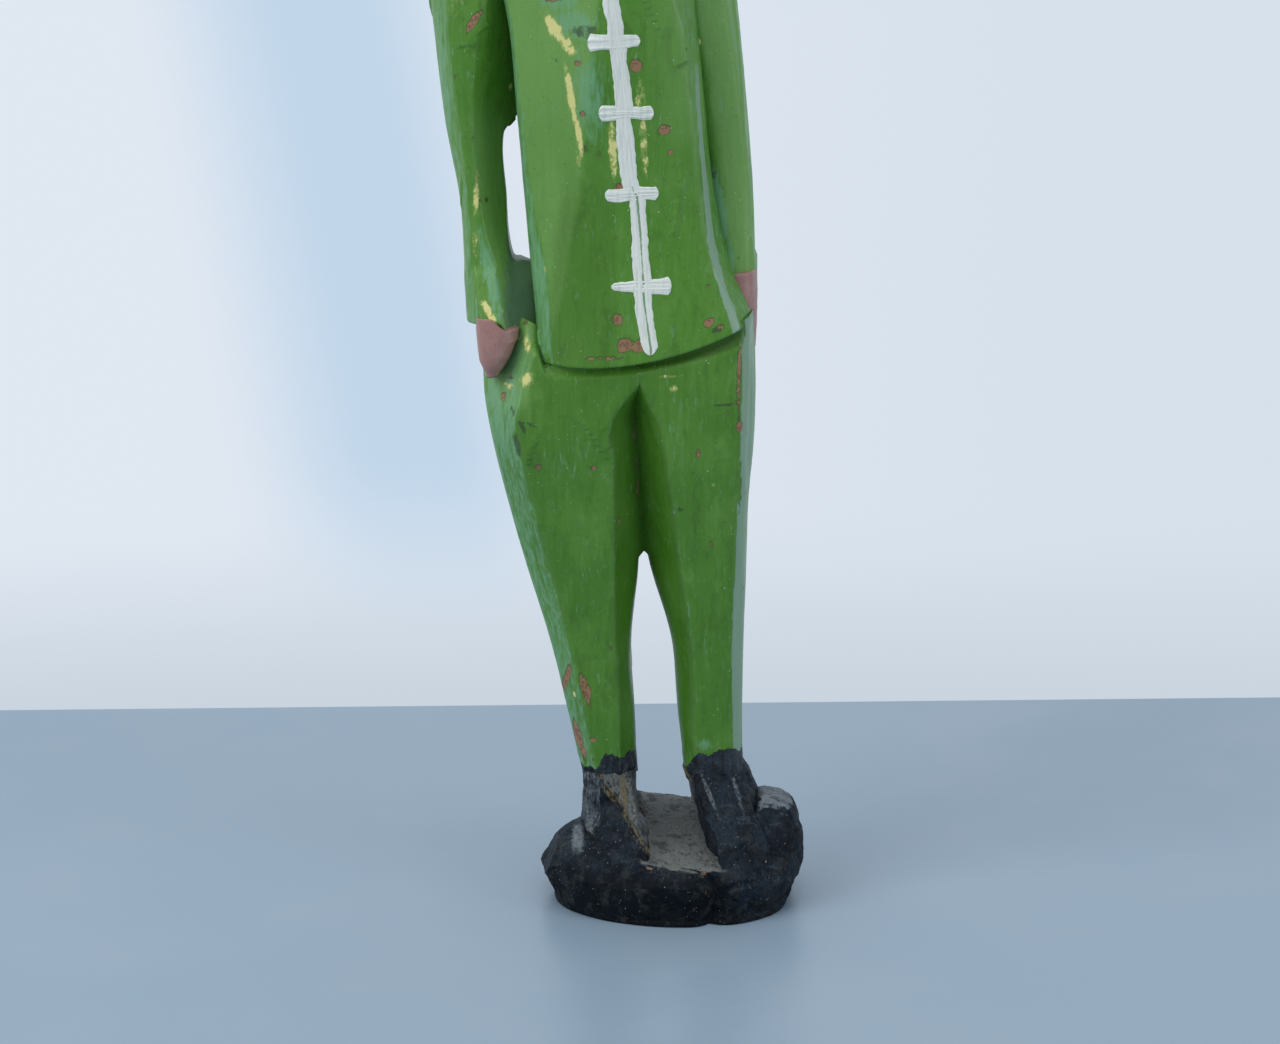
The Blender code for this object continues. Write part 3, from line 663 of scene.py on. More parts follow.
def green_paint(name, colour):
    paint = Paint(name, colour, 0.4)
    clouds = paint.noise(16.0, 2.0, seed=1.0)
    strokes = paint.noise(1.6, 3.0, 0.6, (1.0, 1.0, 14.0), seed=2.0)
    hairs = paint.noise(0.35, 2.0, 0.6, (1.0, 1.0, 22.0), seed=3.0)
    smears = paint.noise(5.0, 4.0, 0.65, (1.0, 1.0, 2.2), seed=4.0)
    dabs = paint.noise(2.0, 5.0, 0.7, seed=11.0)
    paint.coats(
        ((0.095, 0.25, 0.028), clouds, 0.42, 0.68, 0.6),
        ((0.04, 0.15, 0.006), strokes, 0.5, 0.74, 0.5),
        ((0.115, 0.29, 0.055), strokes, 0.46, 0.26, 0.35),
        ((0.12, 0.28, 0.055), smears, 0.54, 0.7, 0.5),
        ((0.045, 0.135, 0.012), smears, 0.44, 0.32, 0.5),
        ((0.06, 0.15, 0.02), dabs, 0.56, 0.68, 0.5),
        ((0.13, 0.29, 0.07), dabs, 0.42, 0.32, 0.3),
    )
    # Painted light on the lit facets
    paint.coat(LIT_GREEN, paint.layer("pale"), 0.75)
    # Painted shade in the recesses and under the hem
    paint.coat(SHADE_GREEN, paint.layer("deep"), 0.9)
    grit = paint.noise(0.7, 3.0, 0.7, seed=6.0)
    paint.coats(((0.05, 0.11, 0.02), grit, 0.62, 0.72, 0.6))
    # Painted highlights and sheen on lit chamfers, then worn-through coats, dirt and chips
    ragged_coats(
        paint,
        (
            ("teal_sheen", TEAL_SHEEN, "streaks", 0.15, 1.0, 0.85),
            ("web", (0.115, 0.21, 0.13), "smears", 0.3, 0.9, 0.9),
            ("shine", SHINE, "streaks", 0.25, 0.8, 0.85),
            ("cream", (0.33, 0.42, 0.12), "smears", 0.42, 0.75, 0.75),
            ("cream", CREAM, "smears", 0.68, 0.82, 0.95),
            ("soot", SOOT, "smears", 0.48, 0.85, 0.75),
            ("bare", (0.13, 0.15, 0.05), "smears", 0.5, 0.66, 0.5),
            ("bare", BARE_WOOD, "smears", 0.66, 0.74, 1.0),
            ("bare", (0.15, 0.07, 0.04), "crumbs", 0.98, 1.15, 0.6),
        ),
    )
    paint.coats(((0.55, 0.62, 0.5), paint.noise(0.55, 1.0, 0.5, seed=9.0), 0.775, 0.79, 0.7))
    # The shoes' black runs up over the ends of the trousers
    green = paint.colour
    paint.colour = paint.plain(BLACKENED)
    blackened(paint, strokes, paint.noise(0.9, 4.0, 0.7, seed=3.0))
    black, paint.colour = paint.colour, green
    uneven = paint.swing(paint.noise(0.8, 4.0, 0.65, seed=12.0), 1.4)
    mask = paint.range(paint.math("ADD", paint.layer("black"), uneven), 0.5, 0.6)
    paint.coat(black, mask)
    paint.rise(paint.math("MULTIPLY", mask, grit), 0.3)
    paint.vary_roughness(paint.range(clouds, 0.3, 0.7), 0.32, 0.46)
    paint.shader.inputs["Specular IOR Level"].default_value = 0.42
    paint.rise(hairs, 0.035)
    paint.rise(strokes, 0.10)
    paint.rise(grit, 0.03)
    return paint.done()


def white_paint():
    paint = Paint("braid_white_paint", (0.72, 0.755, 0.71), 0.42, 0.05)
    strokes = paint.noise(0.8, 3.0, 0.6, (1.0, 1.0, 9.0), seed=1.0)
    patches = paint.noise(0.6, 4.0, 0.7, (1, 1, 3), 4.0)
    thin = paint.math("ADD", paint.layer("thin"), paint.math("MULTIPLY", patches, 0.9))
    paint.coats(
        ((0.5, 0.58, 0.5), strokes, 0.5, 0.7, 0.55),
        ((0.1, 0.24, 0.07), thin, 0.95, 1.08, 0.85),
    )
    paint.rise(strokes, 0.09)
    return paint.done()


def skin_paint():
    paint = Paint("skin_brown_paint", (0.33, 0.175, 0.155), 0.45, 0.05)
    fine = paint.noise(0.8, 4.0, 0.65, (1, 1, 2.5), seed=2.0)
    paint.coats(
        ((0.42, 0.25, 0.22), paint.noise(5.0, 3.0, seed=1.0), 0.45, 0.7, 0.6),
        ((0.19, 0.09, 0.075), fine, 0.55, 0.72, 0.45),
    )
    ragged_coats(
        paint,
        (
            ("white", (0.60, 0.58, 0.53), "crumbs", 0.45, 0.7, 1.0),
            ("dark", (0.02, 0.014, 0.012), "crumbs", 0.5, 0.66, 1.0),
            ("lip", (0.22, 0.06, 0.055), "crumbs", 0.3, 0.8, 0.85),
            ("bare", (0.38, 0.24, 0.17), "smears", 0.66, 0.76, 0.8),
        ),
    )
    paint.coats(((0.5, 0.42, 0.4), paint.noise(0.55, 1.0, 0.5, seed=9.0), 0.76, 0.78, 0.6))
    paint.rise(fine, 0.05)
    return paint.done()


BLACKENED = (0.005, 0.008, 0.013)


def blackened(paint, grain, crumbs):
    """Lays the soot-black coats of the shoes and the base over what is there."""
    paint.coats(
        ((0.019, 0.031, 0.046), paint.noise(7.0, 4.0, 0.6, seed=1.0), 0.36, 0.62, 0.85),
        ((0.05, 0.07, 0.092), paint.noise(2.2, 5.0, 0.7, seed=4.0), 0.55, 0.65, 0.55),
        ((0.002, 0.003, 0.005), grain, 0.5, 0.6, 0.8),
        ((0.13, 0.155, 0.175), crumbs, 0.63, 0.72, 0.7),
    )


def black_paint(name, roughness):
    """Blackened wood: greyed on top, partly by dust and partly by painted light, with painted light on lit
    facets, painted shade low on the front, pale scrapes and small bright splinters of bare wood.
    """
    paint = Paint(name, BLACKENED, roughness)
    grain = paint.noise(0.7, 4.0, 0.65, (1.0, 1.0, 3.0), seed=2.0)
    crumbs = paint.noise(0.9, 4.0, 0.7, seed=3.0)
    blackened(paint, grain, crumbs)
    # Painted light on lit facets, dust with painted sheen on tops and ridges, olive wear and bare chips
    for wear_and_light, cover, low, high, strength in (
        ("lit_facet_grey", (0.155, 0.165, 0.16), 0.1, 0.9, 0.95),
        ("dust_and_sheen", (0.20, 0.235, 0.265), 0.35, 1.1, 0.85),
        ("olive", (0.15, 0.12, 0.065), 0.5, 0.85, 0.85),
        ("bare", (0.50, 0.29, 0.17), 0.7, 0.76, 0.9),
    ):
        level = paint.math("ADD", paint.layer(wear_and_light), paint.swing(grain, 1.6))
        paint.coats((cover, level, low, high, strength))
    paint.coat((0.002, 0.004, 0.007), paint.layer("shade"), 0.88)
    paint.coats(
        ((0.30, 0.31, 0.27), paint.noise(0.6, 1.0, 0.5, seed=9.0), 0.745, 0.765, 0.8),
        ((0.03, 0.034, 0.036), paint.noise(3.4, 5.0, 0.7, seed=6.0), 0.5, 0.64, 0.65),
        ((0.012, 0.014, 0.017), crumbs, 0.42, 0.35, 0.7),
    )
    paint.shader.inputs["Specular IOR Level"].default_value = 0.1
    paint.rise(grain, 0.3)
    paint.rise(crumbs, 0.35)
    return paint.done()


def hair_paint():
    paint = Paint("hair_black_paint", (0.014, 0.013, 0.013), 0.42, 0.08)
    strands = paint.noise(0.9, 3.0, 0.6, (1.0, 1.0, 6.0), seed=1.0)
    paint.coats(((0.035, 0.032, 0.03), strands, 0.5, 0.68, 0.7))
    ragged_coats(paint, (("bare", BARE_WOOD, "smears", 0.68, 0.76, 0.9),))
    paint.rise(strands, 0.12)
    return paint.done()


# ------------------------------------------------------------------------------
# Wear, dirt and painted light: each layer's spots are (x, z, half-width, half-height, lean in degrees,
# strength), seen from the front

# How far a spot and a chip reach, in half-widths, before they have faded out
SPOT_REACH = 1.55
CHIP_REACH = 1.3


def show_most(values, name, level):
    """Lets a layer show at least as strongly as level."""
    values[name] = np.maximum(values[name], level)


def mark_layers(piece, spots, layers, seed, chips=34, sizes=(0.25, 0.95)):
    """Fills the paint layers from listed spots on the front and from seeded chips all over."""
    points, facing = vectors_of(piece, "co") / MM, vectors_of(piece, "normal")
    values = {name: np.zeros(len(points)) for name in layers}
    front = facing[:, 1] < -0.15
    for name, rows in spots.items():
        for x, z, half_width, half_height, turn, strength in rows:
            gap = np.hypot(points[:, 0] - x, points[:, 2] - z) + np.where(front, 0, 1e3)
            away = points - points[gap.argmin()]
            c, s = math.cos(math.radians(turn)), math.sin(math.radians(turn))
            u = (away[:, 0] * c + away[:, 2] * s) / half_width
            v = (-away[:, 0] * s + away[:, 2] * c) / half_height
            w = away[:, 1] / (2.5 * max(half_width, half_height) + 2.0)
            show_most(values, name, strength * np.clip(SPOT_REACH - np.sqrt(u * u + v * v + w * w), 0.0, 1.0))
    rng = np.random.default_rng(seed)
    for index in rng.choice(len(points), chips, replace=False):
        size = rng.uniform(*sizes)
        tall = rng.uniform(1.0, 2.4)
        name = ("bare", "bare", "bare", "soot", "cream")[rng.integers(5)]
        if name not in values:
            continue
        away = points - points[index]
        level_part = (away[:, 0] / size) ** 2 + (away[:, 1] / size) ** 2
        distance = np.sqrt(level_part + (away[:, 2] / (size * tall)) ** 2)
        show_most(values, name, np.clip(CHIP_REACH - distance, 0.0, 1.0) * rng.uniform(0.5, 0.95))
    return values, points, facing


GREEN_LAYERS = ("teal_sheen", "shine", "cream", "soot", "bare", "pale", "deep", "web")
SKIN_LAYERS = ("white", "dark", "lip", "bare")


# ------------------------------------------------------------------------------
# Pieces


def finish_piece(piece, values, material, node):
    for name, level in values.items():
        layer(piece, name, level)
    piece.data.materials.append(material)
    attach(piece, "root")
    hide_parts(node)
    return piece


def finish_skin(piece, material, node, seed, chips, sizes):
    """Finishes a piece in the skin's brown paint that only has seeded chips."""
    finish_piece(piece, mark_layers(piece, {}, SKIN_LAYERS, seed, chips, sizes)[0], material, node)


# Lifts raise the leant skin by place. lean() gives each of them x, y and z.


def hem_lift(x, y, z):
    return ease((HEM_HEIGHT + 26.0 - z) / 26.0) * HEM_SWING * x * x


def web_lift(x, y, z):
    """The web between the right sleeve and the jacket reaches lower than the cuff."""
    return -5.0 * ease((x + 27.0) / 4.0) * ease((156.0 - z) / 8.0)


def wrist_lift(x, y, z):
    return -3.6 * ease((x + 29.5) / 5.0) * ease((z - 142.0) / 6.0)


def seat_lift(x, y, z):
    share = ease((z - SEAT_HEIGHT) / (HEM_HEIGHT - SEAT_HEIGHT))
    return share * (HEM_SWING * x * x + 7.0 * ease((-x - 17.0) / 2.6) * ease((10.0 - y) / 14.0))


def grained(grid, seed):
    """Adds the fine unevenness of painted wood."""
    return roughen(grid, (0.12, (5, 5, 18), seed), (0.04, (1.3, 1.3, 5), seed + 1), (0.02, 0.8, seed + 2))


def whittled(table, low, high, rows, around, facets, seed, lift):
    """A piece's skin with its facets and with knife cuts 7 mm apart and 0.3 mm deep."""
    grid = knife(rings(table, low, high, rows, around), facets)
    grid = whittle(grid, spacing=7.0, depth=0.3, seed=seed, stretch=3.5)
    return lean(grained(grid, seed), lift)


def jacket(material):
    grid = whittled(JACKET, HEM_HEIGHT, 250.2, 300, 260, JACKET_FACETS, 11, hem_lift)
    piece = skin("jacket_carved", closed(grid, 0.5, 1.5))
    spots = {
        "cream": (
            (-28, 214.8, 1.5, 4.2, 33, 1), (-24.6, 210.6, 1.4, 2.6, 25, 1),
            (-24.3, 199.5, 0.9, 7.5, 10, 1), (-22.2, 190, 0.8, 4.5, 8, 1), (-22.4, 184, 0.8, 3, 0, 0.62),
            (-14.3, 187.5, 1.1, 8, 3, 0.85), (-7.2, 187.5, 1, 8.5, 4, 0.72), (-8, 199, 1.3, 5, 0, 0.62),
        ),
        # Painted highlights on the lit left side of the chest
        "teal_sheen": ((-23.1, 215.7, 5, 3, 0, 0.9), (-19.5, 199, 3.6, 9, 5, 0.75), (-27, 222, 5, 3, 0, 0.8)),
        "soot": (
            (-20.5, 214, 4.5, 1.8, 0, 0.75), (-28.6, 221.4, 2.8, 1, 0, 0.8), (-27, 207.3, 1, 1, 0, 0.6),
            (-20, 187.5, 1.6, 2.6, 0, 0.65), (10, 144.4, 1.6, 0.9, 20, 0.9), (-13.8, 168, 1, 4, 0, 0.5),
            (1.5, 172.5, 0.8, 2, 0, 0.55),
        ),
        "bare": (
            (-28.5, 221.5, 2.2, 0.8, 0, 0.9), (-9.2, 206.4, 1.7, 1.5, -30, 1),
            (-13.4, 204.5, 0.6, 0.6, 0, 1), (-22.5, 206.8, 0.9, 0.7, 0, 0.8),
            (-2.4, 191.3, 1.6, 1.3, 0, 1), (-1.2, 186, 0.7, 0.7, 0, 0.8), (-21.6, 195.2, 0.9, 0.8, 0, 1),
            (-18, 185.4, 0.9, 1.5, 0, 0.7), (-12.9, 178, 1.7, 1.3, 20, 1), (-13.5, 147, 1.3, 1.5, 20, 1),
            (-11.8, 141.2, 2.3, 1.7, 35, 1), (-8.4, 140.8, 2, 1.5, 0, 1), (-16.5, 137.9, 5, 0.6, 0, 0.7),
            (8.2, 146.4, 1.7, 0.9, 25, 1), (10.4, 145.2, 1, 0.8, 0, 0.9), (7.6, 154.6, 0.7, 0.7, 0, 0.9),
        ),
    }
    values, points, facing = mark_layers(piece, spots, GREEN_LAYERS, 21)
    x, _, z = points.T
    out_x, out_y, _ = facing.T
    # The chamfers that look to the sides get a painted highlight, and the cut beside the belly gets painted
    # light
    show_most(values, "teal_sheen", 0.72 * ease((-out_x - 0.45) / 0.3) * (out_y < -0.1))
    show_most(values, "teal_sheen", 0.3 * ease((out_x - 0.45) / 0.3))
    strip = x - facet_edge(z, JACKET_FACETS[3])
    width = 0.9 + 1.1 * ease((190 - z) / 50)
    values["shine"] = 1.3 * ease((strip + 0.5) / 0.5) * ease((width - strip) / 0.5) * ease((215 - z) / 20)
    values["shine"] *= out_y < 0
    # Painted shade low on the belly, by the right arm
    belly = ease((x + 32.0 - 0.11 * (z - 136.0)) / 2.0) * ease((-12.0 - x) / 4.0)
    values["deep"] = 0.3 * belly * ease((186.0 - z) / 14.0) * (out_y < -0.3)
    # Painted light on the facet beside the belly edge, and on the upper right of the chest
    edge = facet_edge(z, JACKET_FACETS[1])
    beside = ease((edge - x) / 1.6) * ease((out_x + 0.62) / 0.1) * (out_y < 0)
    values["pale"] = beside * (0.55 + 0.4 * ease((z - 175) / 30))
    upper = ease((x - middle(z) - 11.0) / 9.0) * ease((z - 183.0) / 14.0)
    show_most(values, "pale", 0.55 * upper * (out_y < -0.3))
    return finish_piece(piece, values, material, "jacket_body")


def sleeve(side, table, cuff, facets, seed, spots, material):
    right = side == "right"
    grid = whittled(table, cuff, 244.5, 260, 150, facets, seed, web_lift if right else None)
    if right:
        # The web runs on into the jacket, which hides its end
        grid[..., 0] += 1.6 * ease((grid[..., 0] + 38.5) / 4.0) * ease((161.0 - grid[..., 2]) / 3.0)
    piece = skin(f"sleeve_{side}_carved", closed(grid, 0.5, 2.0))
    values, points, facing = mark_layers(piece, spots, GREEN_LAYERS, seed)
    x, _, z = points.T
    outward = facing[:, 0] * (-1 if right else 1)
    out_y = facing[:, 1]
    # A painted highlight on the side that faces out
    show_most(values, "teal_sheen", 0.5 * ease((outward - 0.7) / 0.2))
    if right:
        beside_jacket = ease((x + 43.0) / 6.0) * ease((172.0 - z) / 12.0)
        values["web"] = 1.2 * beside_jacket * (out_y < 0.3)
        # Painted light on the forearm's inner side
        values["pale"] = 0.85 * ease((-outward - 0.2) / 0.3) * ease((200.0 - z) / 14.0) * (out_y < 0.0)
    else:
        # Painted shade in the groove on the inner side
        values["deep"] = ease((-outward - 0.25) / 0.3) * (out_y < 0.3)
        # Painted light on the front face
        values["pale"] = 1.1 * ease((outward + 0.15) / 0.3) * ease((0.1 - out_y) / 0.3)
    finish_piece(piece, values, material, "sleeve_" + side)


def sleeves(material):
    right = {
        "cream": (
            (-46.9, 175, 0.9, 5.5, -4, 0.75), (-43.6, 147.6, 1, 3, 35, 0.95),
            (-48.5, 209, 1.4, 3, 0, 0.4), (-47, 163, 1, 4, 0, 0.6), (-50, 220, 2.4, 4, 0, 0.45),
        ),
        "bare": ((-46.6, 215.8, 0.9, 3.4, -35, 1), (-47.3, 188, 0.5, 1.2, 0, 0.6)),
        # Painted highlights along the sleeve's lit facets
        "teal_sheen": ((-43.5, 156, 1.6, 10, 14, 0.95), (-54, 200, 1.4, 18, 4, 0.8)),
    }
    left = {
        # Painted highlights on the front facets
        "teal_sheen": ((10, 172, 1.8, 9, 10, 1), (12.5, 158, 1.6, 5, 0, 0.9)),
        "cream": ((11.5, 176, 2, 4.5, 10, 0.35),),
        "soot": ((9, 180, 1.6, 3, 0, 0.6),),
        "bare": ((8.4, 165, 0.6, 2, 0, 0.7),),
    }
    sleeve("right", SLEEVE_RIGHT, CUFF_RIGHT, SLEEVE_RIGHT_FACETS, 31, right, material)
    sleeve("left", SLEEVE_LEFT, CUFF_LEFT, SLEEVE_LEFT_FACETS, 32, left, material)


def trouser_leg(side, table, facets, seed, spots, material):
    right = side == "right"
    grid = rings(table, ANKLE_HEIGHT - 1.5, HEM_HEIGHT + 1.0, 330, 170)
    # Above the crotch the two legs are one block of wood
    inward = 1 if right else -1
    nearness = ease(inward * (grid[..., 0] - 4.0 + 8.0 * inward) / 6.0)
    grid[..., 0] += inward * 2.8 * nearness * ease((grid[..., 2] - CROTCH_HEIGHT + 0.8) / 3.0)
    grid = whittle(knife(grid, facets), spacing=7.5, depth=0.28, seed=seed, stretch=4.0)
    # The carver cut the trousers back under the hem
    below_hem = HEM_HEIGHT - grid[..., 2] - 1.0
    under = 1.3 * ease(1 - below_hem / 2.4) * ease((np.abs(grid[..., 0] - 4.2) - 26.0) / -2.0)
    grid = grained(grid, seed)
    ankle = 0.3 * ease((37.0 - grid[..., 2]) / 3.0) * noise(grid, (1.4, 1.4, 3.0), seed + 3)
    grid = grid - facing_of(grid) * (under + ankle)[..., None]
    piece = skin(f"trouser_leg_{side}_carved", closed(lean(grid, seat_lift), 0.3, 0.3))
    values, points, facing = mark_layers(piece, spots, GREEN_LAYERS, seed)
    x, _, z = points.T
    outward = -inward * facing[:, 0]
    out_y = facing[:, 1]
    # Green stops at a ragged line, and the shoe's black runs up past the end of the trousers
    border = 33.0 + 1.4 * noise(points, (2.2, 2.2, 40.0), seed)
    if right:
        # A painted highlight on the outer chamfer
        show_most(values, "teal_sheen", 0.75 * ease((outward - 0.62) / 0.2) * (out_y < -0.1))
        # Painted light on the hip below the arm
        values["pale"] = 0.85 * ease((-32.6 - x) / 2.0) * ease((z - 121.0) / 10.0)
        border = border + 3.4 * ease((x + 19.0) / 2.5)
    else:
        values["shine"] = 1.2 * ease((outward - 0.62) / 0.15) * ease((-0.12 - out_y) / 0.16)
        border = border + 4.5 * ease((x - 3.0) / 3.5)
    values["black"] = np.clip((border - z) / 1.6 + 0.5, 0.0, 1.5)
    # Painted shade in the arch between the legs
    arch = ease((132.0 - z) / 5.0) * (out_y < 0.2)
    values["deep"] = 0.5 * arch * ease((-outward - (0.4 if right else 0.3)) / 0.35)
    # A painted shadow line under the hem, where the knife undercut it
    from_middle = x - middle(z)
    hem = HEM_HEIGHT + HEM_SWING * from_middle**2
    show_most(values, "deep", ease((z - hem + 1.9) / 0.9) * ease((from_middle + 18.0) / 2.0))
    finish_piece(piece, values, material, "trouser_leg_" + side)


def trousers(material):
    right = {
        "cream": (
            (-34.8, 140, 1, 2.2, 10, 0.8), (-35, 132.5, 2.2, 1.6, 40, 0.9), (-39, 130.4, 1.6, 1, 0, 0.8),
            (-9.5, 118, 0.5, 8, 0, 0.45),
        ),
        "bare": (
            (-38.9, 132, 0.7, 0.7, 0, 0.9), (-40.6, 127.3, 0.8, 1.2, 0, 0.9),
            (-32.8, 111.1, 0.9, 0.8, 0, 1), (-18.8, 111.1, 0.9, 0.8, 0, 0.75),
            (-26.2, 55, 0.8, 5.6, -16, 1), (-21.2, 53.6, 1.1, 4.4, 14, 1), (-23, 39.8, 1, 5.6, 16, 1),
            (-19.6, 40.6, 0.9, 0.7, 0, 0.9), (-8.9, 108, 0.5, 16, 3, 0.6),
        ),
        "soot": (
            (-36.1, 121, 0.7, 2.6, 30, 0.9), (-37.4, 116, 0.8, 3.4, 10, 0.95),
            (-34, 121.5, 2, 0.6, -20, 0.8), (-38.4, 124.5, 0.6, 1.4, 0, 0.9),
        ),
        # Painted highlights on the lit outer strip of the thigh
        "teal_sheen": ((-42, 122, 1.6, 12, 8, 0.9), (-24, 112, 5, 5, 0, 0.2)),
    }
    left = {
        "bare": ((15, 132, 0.55, 9, -1, 1), (14.9, 121, 0.8, 1.6, 0, 1)),
        "soot": (
            (14.9, 128.5, 0.5, 9, 0, 0.9), (12, 126.4, 4, 0.35, 3, 0.9), (15.4, 104, 0.4, 6, 0, 0.7),
            (1, 100.5, 0.8, 0.8, 0, 0.9),
        ),
        "cream": (
            (-1.6, 133.4, 3.2, 0.5, 3, 0.7), (-0.6, 130.6, 1.1, 1.2, 0, 0.65),
            (9, 106.5, 1, 0.6, 0, 0.6),
        ),
        # Painted highlights
        "teal_sheen": ((0.6, 120, 1.6, 7, 0, 0.35), (7.2, 39.2, 1.8, 1.6, 0, 0.7)),
    }
    trouser_leg("right", LEG_RIGHT, LEG_RIGHT_FACETS, 41, right, material)
    trouser_leg("left", LEG_LEFT, LEG_LEFT_FACETS, 42, left, material)


def hands(material):
    for side, table, low, cuff, lift, seed in (
        ("right", HAND_RIGHT, 135.6, CUFF_RIGHT, wrist_lift, 51),
        ("left", HAND_LEFT, 135.2, CUFF_LEFT, None, 52),
    ):
        grid = rings(table, low, cuff + 1.0, 70, 90, grow=0.25)
        grid = whittle(grid, 4.0, 0.2, seed, 2.0)
        grid = roughen(grid, (0.10, (3, 3, 6), seed), (0.04, 1.0, seed + 1))
        piece = skin(f"hand_{side}_carved", closed(lean(grid, lift), 0.8, 0.3))
        finish_skin(piece, material, "hand_" + side, seed, 6, (0.3, 0.7))


def shoes(material):
    spots = {
        "olive": (
            (-16, 27.6, 0.8, 3.8, 42, 0.8), (-12, 23, 0.5, 4, 42, 0.66), (-8.6, 18.6, 0.4, 4, 42, 0.6),
            (-12.2, 28, 0.8, 5, 4, 0.85),
        ),
        # Dust, and painted highlights along the ridges of the left shoe
        "dust_and_sheen": (
            (-20.6, 20, 1.4, 6.5, 0, 0.75), (8.6, 28, 0.6, 6, 26, 0.72), (15.2, 29, 0.6, 6.5, 20, 0.68),
        ),
    }
    for side, table, facets, seed, gouge in (
        ("right", SHOE_RIGHT, SHOE_RIGHT_FACETS, 61, 0.5),
        ("left", SHOE_LEFT, SHOE_LEFT_FACETS, 62, 0.95),
    ):
        grid = knife(rings(table, 9.0, 31.6, 150, 190), facets)
        grid = chop(grid, 60, (0.12, 0.4), seed, 4.0, 6.0)
        fine = ((0.16, (0.9, 0.9, 3), seed + 1), (0.09, 0.6, seed + 2))
        grid = roughen(grid, (gouge, (2.6, 9, 16), seed), *fine)
        piece = skin(f"shoe_{side}_carved", closed(lean(grid), 0.4, 0.4))
        values, points, facing = mark_layers(piece, spots, ("dust_and_sheen", "olive", "bare"), seed, 14, (0.3, 0.7))
        # Faces that look up get dust and painted light
        show_most(values, "dust_and_sheen", 0.3 * ease((facing[:, 2] - 0.5) / 0.4))
        if side == "right":
            # A worn ridge runs down to the toe, with painted light on the facet on its inner side, and dust
            # and painted sheen on the outer one
            x, _, z = points.T
            front = ease((0.1 - facing[:, 1]) / 0.2)
            ridge = facet_edge(z, facets[1])
            show_most(values, "olive", 0.8 * bell(x - ridge - 0.4, 0.0, 0.7) * front)
            values["lit_facet_grey"] = 0.6 * ease((x - ridge) / 0.8) * front * ease((24.0 - z - x) / 6.0)
            outer = ease((-17.4 - x) / 0.8) * ease((z - 18.0) / 2.0) * ease((33.0 - z) / 2.0)
            show_most(values, "dust_and_sheen", 0.6 * outer * front)
        finish_piece(piece, values, material, "shoe_" + side)


# How many rows to each side are averaged where the brow of the block is worn round
ROUNDING_ROWS = 18


def base_top(x, y):
    behind = np.clip(y, 0.0, None)
    plateau = 16.4 - 0.10 * x + 0.09 * y - 0.5 * np.clip(y - 18.5, 0.0, None)
    lump = (9.2 + 0.12 * x - 0.03 * y - 0.36 * behind - 1.2 * ease((x - 27.0) / 6.0)) * ease((x - 15.6) / 2.4)
    high_lump = lump * ease((y + 23.0) / 13.0) * ease((24.0 - y) / 14.0)
    low_lump = (1.4 - 1.1 * np.clip(-x - 25.0, 0.0, None)) * ease((-x - 19.0) / 4.0)
    drop = 0.42 * np.clip(y + 4.0, 0.0, None) * ease((-x - 16.5) / 5.5)
    rim = np.hypot(x / 1.06, y)
    rounding = (2.2 + 1.6 * ease((np.abs(x + 2.0) - 9.0) / 8.0)) * ease((rim - 26.0) / 4.5)
    rounding *= 1.0 - 0.5 * ease((-x - 18.0) / 4.0)
    toe = 3.6 * bell(x, 18.0, 6.0) * bell(y, -25.0, 5.0)
    return np.maximum(plateau + high_lump + low_lump + toe - drop - rounding, 8.0)


